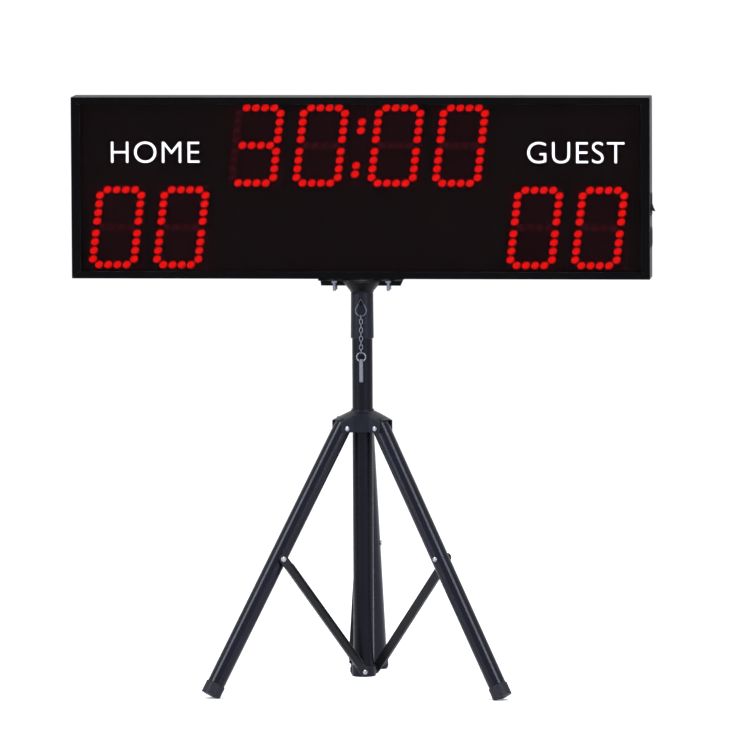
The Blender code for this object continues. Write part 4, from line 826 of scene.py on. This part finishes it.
class GAMECLOCK_OT_labels(Operator):
    """Prints the generic words over both scores on the window's front"""

    bl_idname = "gameclock.labels"
    bl_label = "Words on the window"

    def execute(self, context):
        sizes = context.scene.gameclock_labels
        colours = context.scene.gameclock_colours
        ink = finish_material("white_print", colours.words, drift=0.94, patch=60.0, fine=2200.0,
                              coarse=300.0, rough=(0.45, 0.60), bump=0.00002, strength=0.2, dust=0.0)
        low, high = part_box("front_window")
        middle = (low + high) / 2
        for name, words, across in (("home_words", sizes.home_words, sizes.home_middle),
                                    ("guest_words", sizes.guest_words, sizes.guest_middle)):
            label = print_words(name, words, sizes, ink)
            choose(label)
            bpy.ops.transform.translate(value=(middle.x + across,
                                               low.y - sizes.thickness / 2 - PRINT_GAP,
                                               middle.z + sizes.rise))
            settle()
            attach(label, "display")
        return {"FINISHED"}


def cover_screw(sizes, metal):
    """A pan-head screw with a cross recess, along +Z with its seat at the origin."""
    screw = cylinder("cover_screw", 24, sizes.head_radius, sizes.head_height, metal)
    bevel_facing(screw, UP, sizes.head_height / 2, 4)
    long = sizes.head_radius * RECESS_LENGTH
    for across, up in ((sizes.recess_width, long), (long, sizes.recess_width)):
        clear_selection()
        bpy.ops.mesh.primitive_cube_add(size=1.0, location=(0.0, 0.0, sizes.head_height),
                                        scale=(across, up, sizes.head_height * 1.1))
        cut(screw, bpy.context.object)
    choose(screw)
    bpy.ops.object.shade_smooth_by_angle(angle=math.radians(35.0))
    return screw


class GAMECLOCK_OT_cover_screws(Operator):
    """Screws the rear cover down with cross-recess screws"""

    bl_idname = "gameclock.cover_screws"
    bl_label = "Rear cover screws"

    def execute(self, context):
        sizes = context.scene.gameclock_screws
        metal = bpy.data.materials["bright_zinc_finish"]
        first = cover_screw(sizes, metal)
        choose(first)
        first.rotation_euler = (math.radians(-90.0), 0.0, 0.0)
        settle()
        low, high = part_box("rear_cover")
        inset = sizes.edge_inset
        left, right = low.x + inset, high.x - inset
        places = []
        for step in range(COVER_COLUMNS):
            across = left + (right - left) * step / (COVER_COLUMNS - 1)
            places += [(across, low.z + inset), (across, high.z - inset)]
        places += [(left, (low.z + high.z) / 2), (right, (low.z + high.z) / 2)]
        parts = []
        for turn, (x, z) in enumerate(places):
            made = copy_of(first, (x, high.y, z))
            made.rotation_euler = (0.0, math.radians(COVER_SCREW_TURN * turn), 0.0)
            parts.append(made)
        remove(first)
        screws = join("rear_cover_screws", parts)
        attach(screws, "display")
        return {"FINISHED"}


def end_of(packed, direction):
    """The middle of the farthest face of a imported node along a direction."""
    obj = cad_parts[packed]
    points = [obj.matrix_world @ vert.co for vert in obj.data.vertices]
    reach = max(point.dot(direction) for point in points)
    face = [point for point in points if point.dot(direction) > reach - 0.00005]
    return sum(face, Vector()) / len(face)


class GAMECLOCK_OT_rivet_caps(Operator):
    """Closes the upper rivet of each strut with a domed zinc cap"""

    bl_idname = "gameclock.rivet_caps"
    bl_label = "Rivet caps"

    def execute(self, context):
        sizes = context.scene.gameclock_rivets
        metal = bpy.data.materials["bright_zinc_finish"]
        first = cylinder("rivet_cap", 24, sizes.cap_radius, sizes.cap_height, metal)
        bevel_facing(first, UP, sizes.cap_height * CAP_ROUND, 5)
        bpy.ops.object.shade_smooth_by_angle(angle=math.radians(40.0))
        for side, azimuth in LEG_AZIMUTHS.items():
            turn = math.radians(azimuth)
            across = Vector((-math.sin(turn), math.cos(turn), 0.0))
            copy_of(first, (0.0, 0.0, 0.0))
            cap = named(side + "_strut_rivet_cap")
            aim(cap, across, end_of(side + "_leg_rivet", across) + across * STRUT_WEB_FACE)
            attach(cap, "strut_" + side)
        remove(first)
        return {"FINISHED"}


def face_middle(packed, direction):
    """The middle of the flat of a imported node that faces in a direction."""
    faces = [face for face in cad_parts[packed].data.polygons if face.normal.dot(direction) > 0.999]
    return sum((face.center * face.area for face in faces), Vector()) / sum(face.area for face in faces)


def bar_mark(sizes, ink):
    """The mark for on: an upright bar with rounded corners, facing along +Z."""
    bar = block("on_mark", (0.0, 0.0, 0.0), (sizes.stroke, sizes.height, sizes.thickness), ink)
    bevel_facing(bar, TO_FRONT, sizes.stroke * MARK_ROUND, 2, both_ways=True)
    return bar


def ring_mark(sizes, ink):
    """The mark for off: a flat ring, facing along +Z."""
    clear_selection()
    bpy.ops.mesh.primitive_cylinder_add(vertices=32, radius=sizes.height / 2, depth=sizes.thickness)
    ring = named("off_mark")
    ring.data.materials.append(ink)
    clear_selection()
    bpy.ops.mesh.primitive_cylinder_add(vertices=32, radius=sizes.height / 2 - sizes.stroke,
                                        depth=sizes.thickness * 3)
    cut(ring, bpy.context.object)
    return ring


class GAMECLOCK_OT_rocker_marks(Operator):
    """Prints the marks for on and off on the two halves of the rocker"""

    bl_idname = "gameclock.rocker_marks"
    bl_label = "Marks on the rocker"

    def execute(self, context):
        sizes = context.scene.gameclock_marks
        ink = bpy.data.materials["white_print_finish"]
        flats = ((bar_mark(sizes, ink), TO_RIGHT),
                 (ring_mark(sizes, ink), Vector((math.cos(ROCKER_TURN), 0.0, math.sin(ROCKER_TURN)))))
        for mark, facing in flats:
            aim(mark, facing, face_middle("switch_rocker", facing))
        marks = join("rocker_marks", [mark for mark, facing in flats])
        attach(marks, "rocker")
        return {"FINISHED"}


class GAMECLOCK_OT_inlet_blades(Operator):
    """Sheathes the three contacts of the power inlet in bright metal"""

    bl_idname = "gameclock.inlet_blades"
    bl_label = "Inlet blades"

    def execute(self, context):
        sizes = context.scene.gameclock_blades
        metal = bpy.data.materials["bright_zinc_finish"]
        low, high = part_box("power_inlet")
        middle = (low + high) / 2
        first = block("blade", (0.0, 0.0, 0.0), (sizes.length, sizes.width, sizes.height), metal)
        select_facing(first, TO_RIGHT)
        bpy.ops.mesh.inset(thickness=sizes.taper)
        bpy.ops.transform.translate(value=(sizes.taper, 0.0, 0.0))
        bpy.ops.object.mode_set(mode="OBJECT")
        depth = high.x - sizes.tip_depth - sizes.length / 2
        parts = [copy_of(first, (depth, middle.y + across, middle.z + up)) for across, up in BLADE_PLACES]
        remove(first)
        blades = join("inlet_blades", parts)
        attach(blades, "display")
        return {"FINISHED"}


class GAMECLOCK_OT_stage(Operator):
    """Sets the floor, the soft studio light and the camera"""

    bl_idname = "gameclock.stage"
    bl_label = "Stage"

    def execute(self, context):
        scene = context.scene
        sizes = scene.gameclock_stage
        clear_selection()
        bpy.ops.mesh.primitive_plane_add(size=sizes.floor_side, location=(0.0, 0.0, FLOOR_HEIGHT))
        floor = named("floor")
        paint = finish_material("floor_paint", (0.93, 0.93, 0.93), drift=1.03, patch=2.0, fine=60.0,
                                coarse=6.0, rough=(0.75, 0.85), bump=0.0002, strength=0.1, dust=0.0,
                                specular=0.1)
        floor.data.materials.append(paint)
        self.world(scene)
        for name, (place, size, power) in LAMPS.items():
            self.lamp(name, place, size, power)
        self.camera(scene, sizes)
        scene.view_settings.view_transform = "Standard"
        return {"FINISHED"}

    def world(self, scene):
        """Soft light all round. The camera, glossy and transmitted rays see plain white."""
        world = bpy.data.worlds.new("studio")
        world.use_nodes = True
        scene.world = world
        tree = world.node_tree
        tree.nodes.clear()
        output = node(tree, "ShaderNodeOutputWorld")
        light = node(tree, "ShaderNodeBackground")
        plain = node(tree, "ShaderNodeBackground")
        chooser = node(tree, "ShaderNodeMixShader")
        rays = node(tree, "ShaderNodeLightPath")
        shown = rays.outputs["Is Camera Ray"]
        for other in ("Is Glossy Ray", "Is Transmission Ray"):
            shown = maths(tree, "MAXIMUM", shown, rays.outputs[other])
        for sky, colour, power in ((light, SKY_COLOUR, SKY_POWER), (plain, WHITE, 1.0)):
            sky.inputs["Color"].default_value = colour
            sky.inputs["Strength"].default_value = power
        tree.links.new(shown, chooser.inputs[0])
        tree.links.new(light.outputs[0], chooser.inputs[1])
        tree.links.new(plain.outputs[0], chooser.inputs[2])
        tree.links.new(chooser.outputs[0], output.inputs["Surface"])

    def lamp(self, name, place, size, power):
        clear_selection()
        bpy.ops.object.light_add(type="AREA", location=place)
        lamp = named(name)
        lamp.data.shape = "RECTANGLE"
        lamp.data.size, lamp.data.size_y = size
        lamp.data.energy = power
        lamp.data.color = LAMP_COLOUR
        toward = LAMP_TARGET - Vector(place)
        lamp.rotation_euler = toward.to_track_quat("-Z", "Y").to_euler()
        lamp.visible_camera = False

    def camera(self, scene, sizes):
        bpy.ops.object.camera_add()
        camera = named("camera")
        azimuth, elevation = sizes.azimuth, sizes.elevation
        back = Vector((math.sin(azimuth) * math.cos(elevation), -math.cos(azimuth) * math.cos(elevation),
                       math.sin(elevation)))
        camera.location = Vector(sizes.target) + back * sizes.distance
        turn = Quaternion((0.0, 0.0, 1.0), sizes.roll)
        camera.rotation_euler = ((-back).to_track_quat("-Z", "Y") @ turn).to_euler()
        camera.data.sensor_width = 36.0
        camera.data.lens = sizes.zoom * camera.data.sensor_width / PHOTO_SIDE
        camera.data.clip_end = 200.0
        scene.camera = camera


class GAMECLOCK_PT_panel(Panel):
    """Lists the pieces of the game clock"""

    bl_idname = "GAMECLOCK_PT_panel"
    bl_label = "Game clock"
    bl_space_type = "VIEW_3D"
    bl_region_type = "UI"
    bl_category = "Game clock"

    def draw(self, context):
        for step in STEPS:
            self.layout.operator(step.bl_idname)


STEPS = (GAMECLOCK_OT_finishes, GAMECLOCK_OT_digits, GAMECLOCK_OT_labels, GAMECLOCK_OT_cover_screws,
         GAMECLOCK_OT_rivet_caps, GAMECLOCK_OT_rocker_marks, GAMECLOCK_OT_inlet_blades,
         GAMECLOCK_OT_stage)
GROUPS = {
    "gameclock_leds": LedSizes,
    "gameclock_labels": LabelSizes,
    "gameclock_screws": ScrewSizes,
    "gameclock_rivets": RivetSizes,
    "gameclock_marks": MarkSizes,
    "gameclock_blades": BladeSizes,
    "gameclock_colours": Colours,
    "gameclock_stage": StageSizes,
}
CLASSES = (*GROUPS.values(), *STEPS, GAMECLOCK_PT_panel)


def register():
    for made in CLASSES:
        bpy.utils.register_class(made)
    for name, sizes in GROUPS.items():
        setattr(bpy.types.Scene, name, PointerProperty(type=sizes))


def unregister():
    for name in GROUPS:
        delattr(bpy.types.Scene, name)
    for made in reversed(CLASSES):
        bpy.utils.unregister_class(made)


def main():
    register()
    bpy.ops.gameclock.finishes()
    bpy.ops.gameclock.digits()
    bpy.ops.gameclock.labels()
    bpy.ops.gameclock.cover_screws()
    bpy.ops.gameclock.rivet_caps()
    bpy.ops.gameclock.rocker_marks()
    bpy.ops.gameclock.inlet_blades()
    bpy.ops.gameclock.stage()


if __name__ == "__main__":
    main()
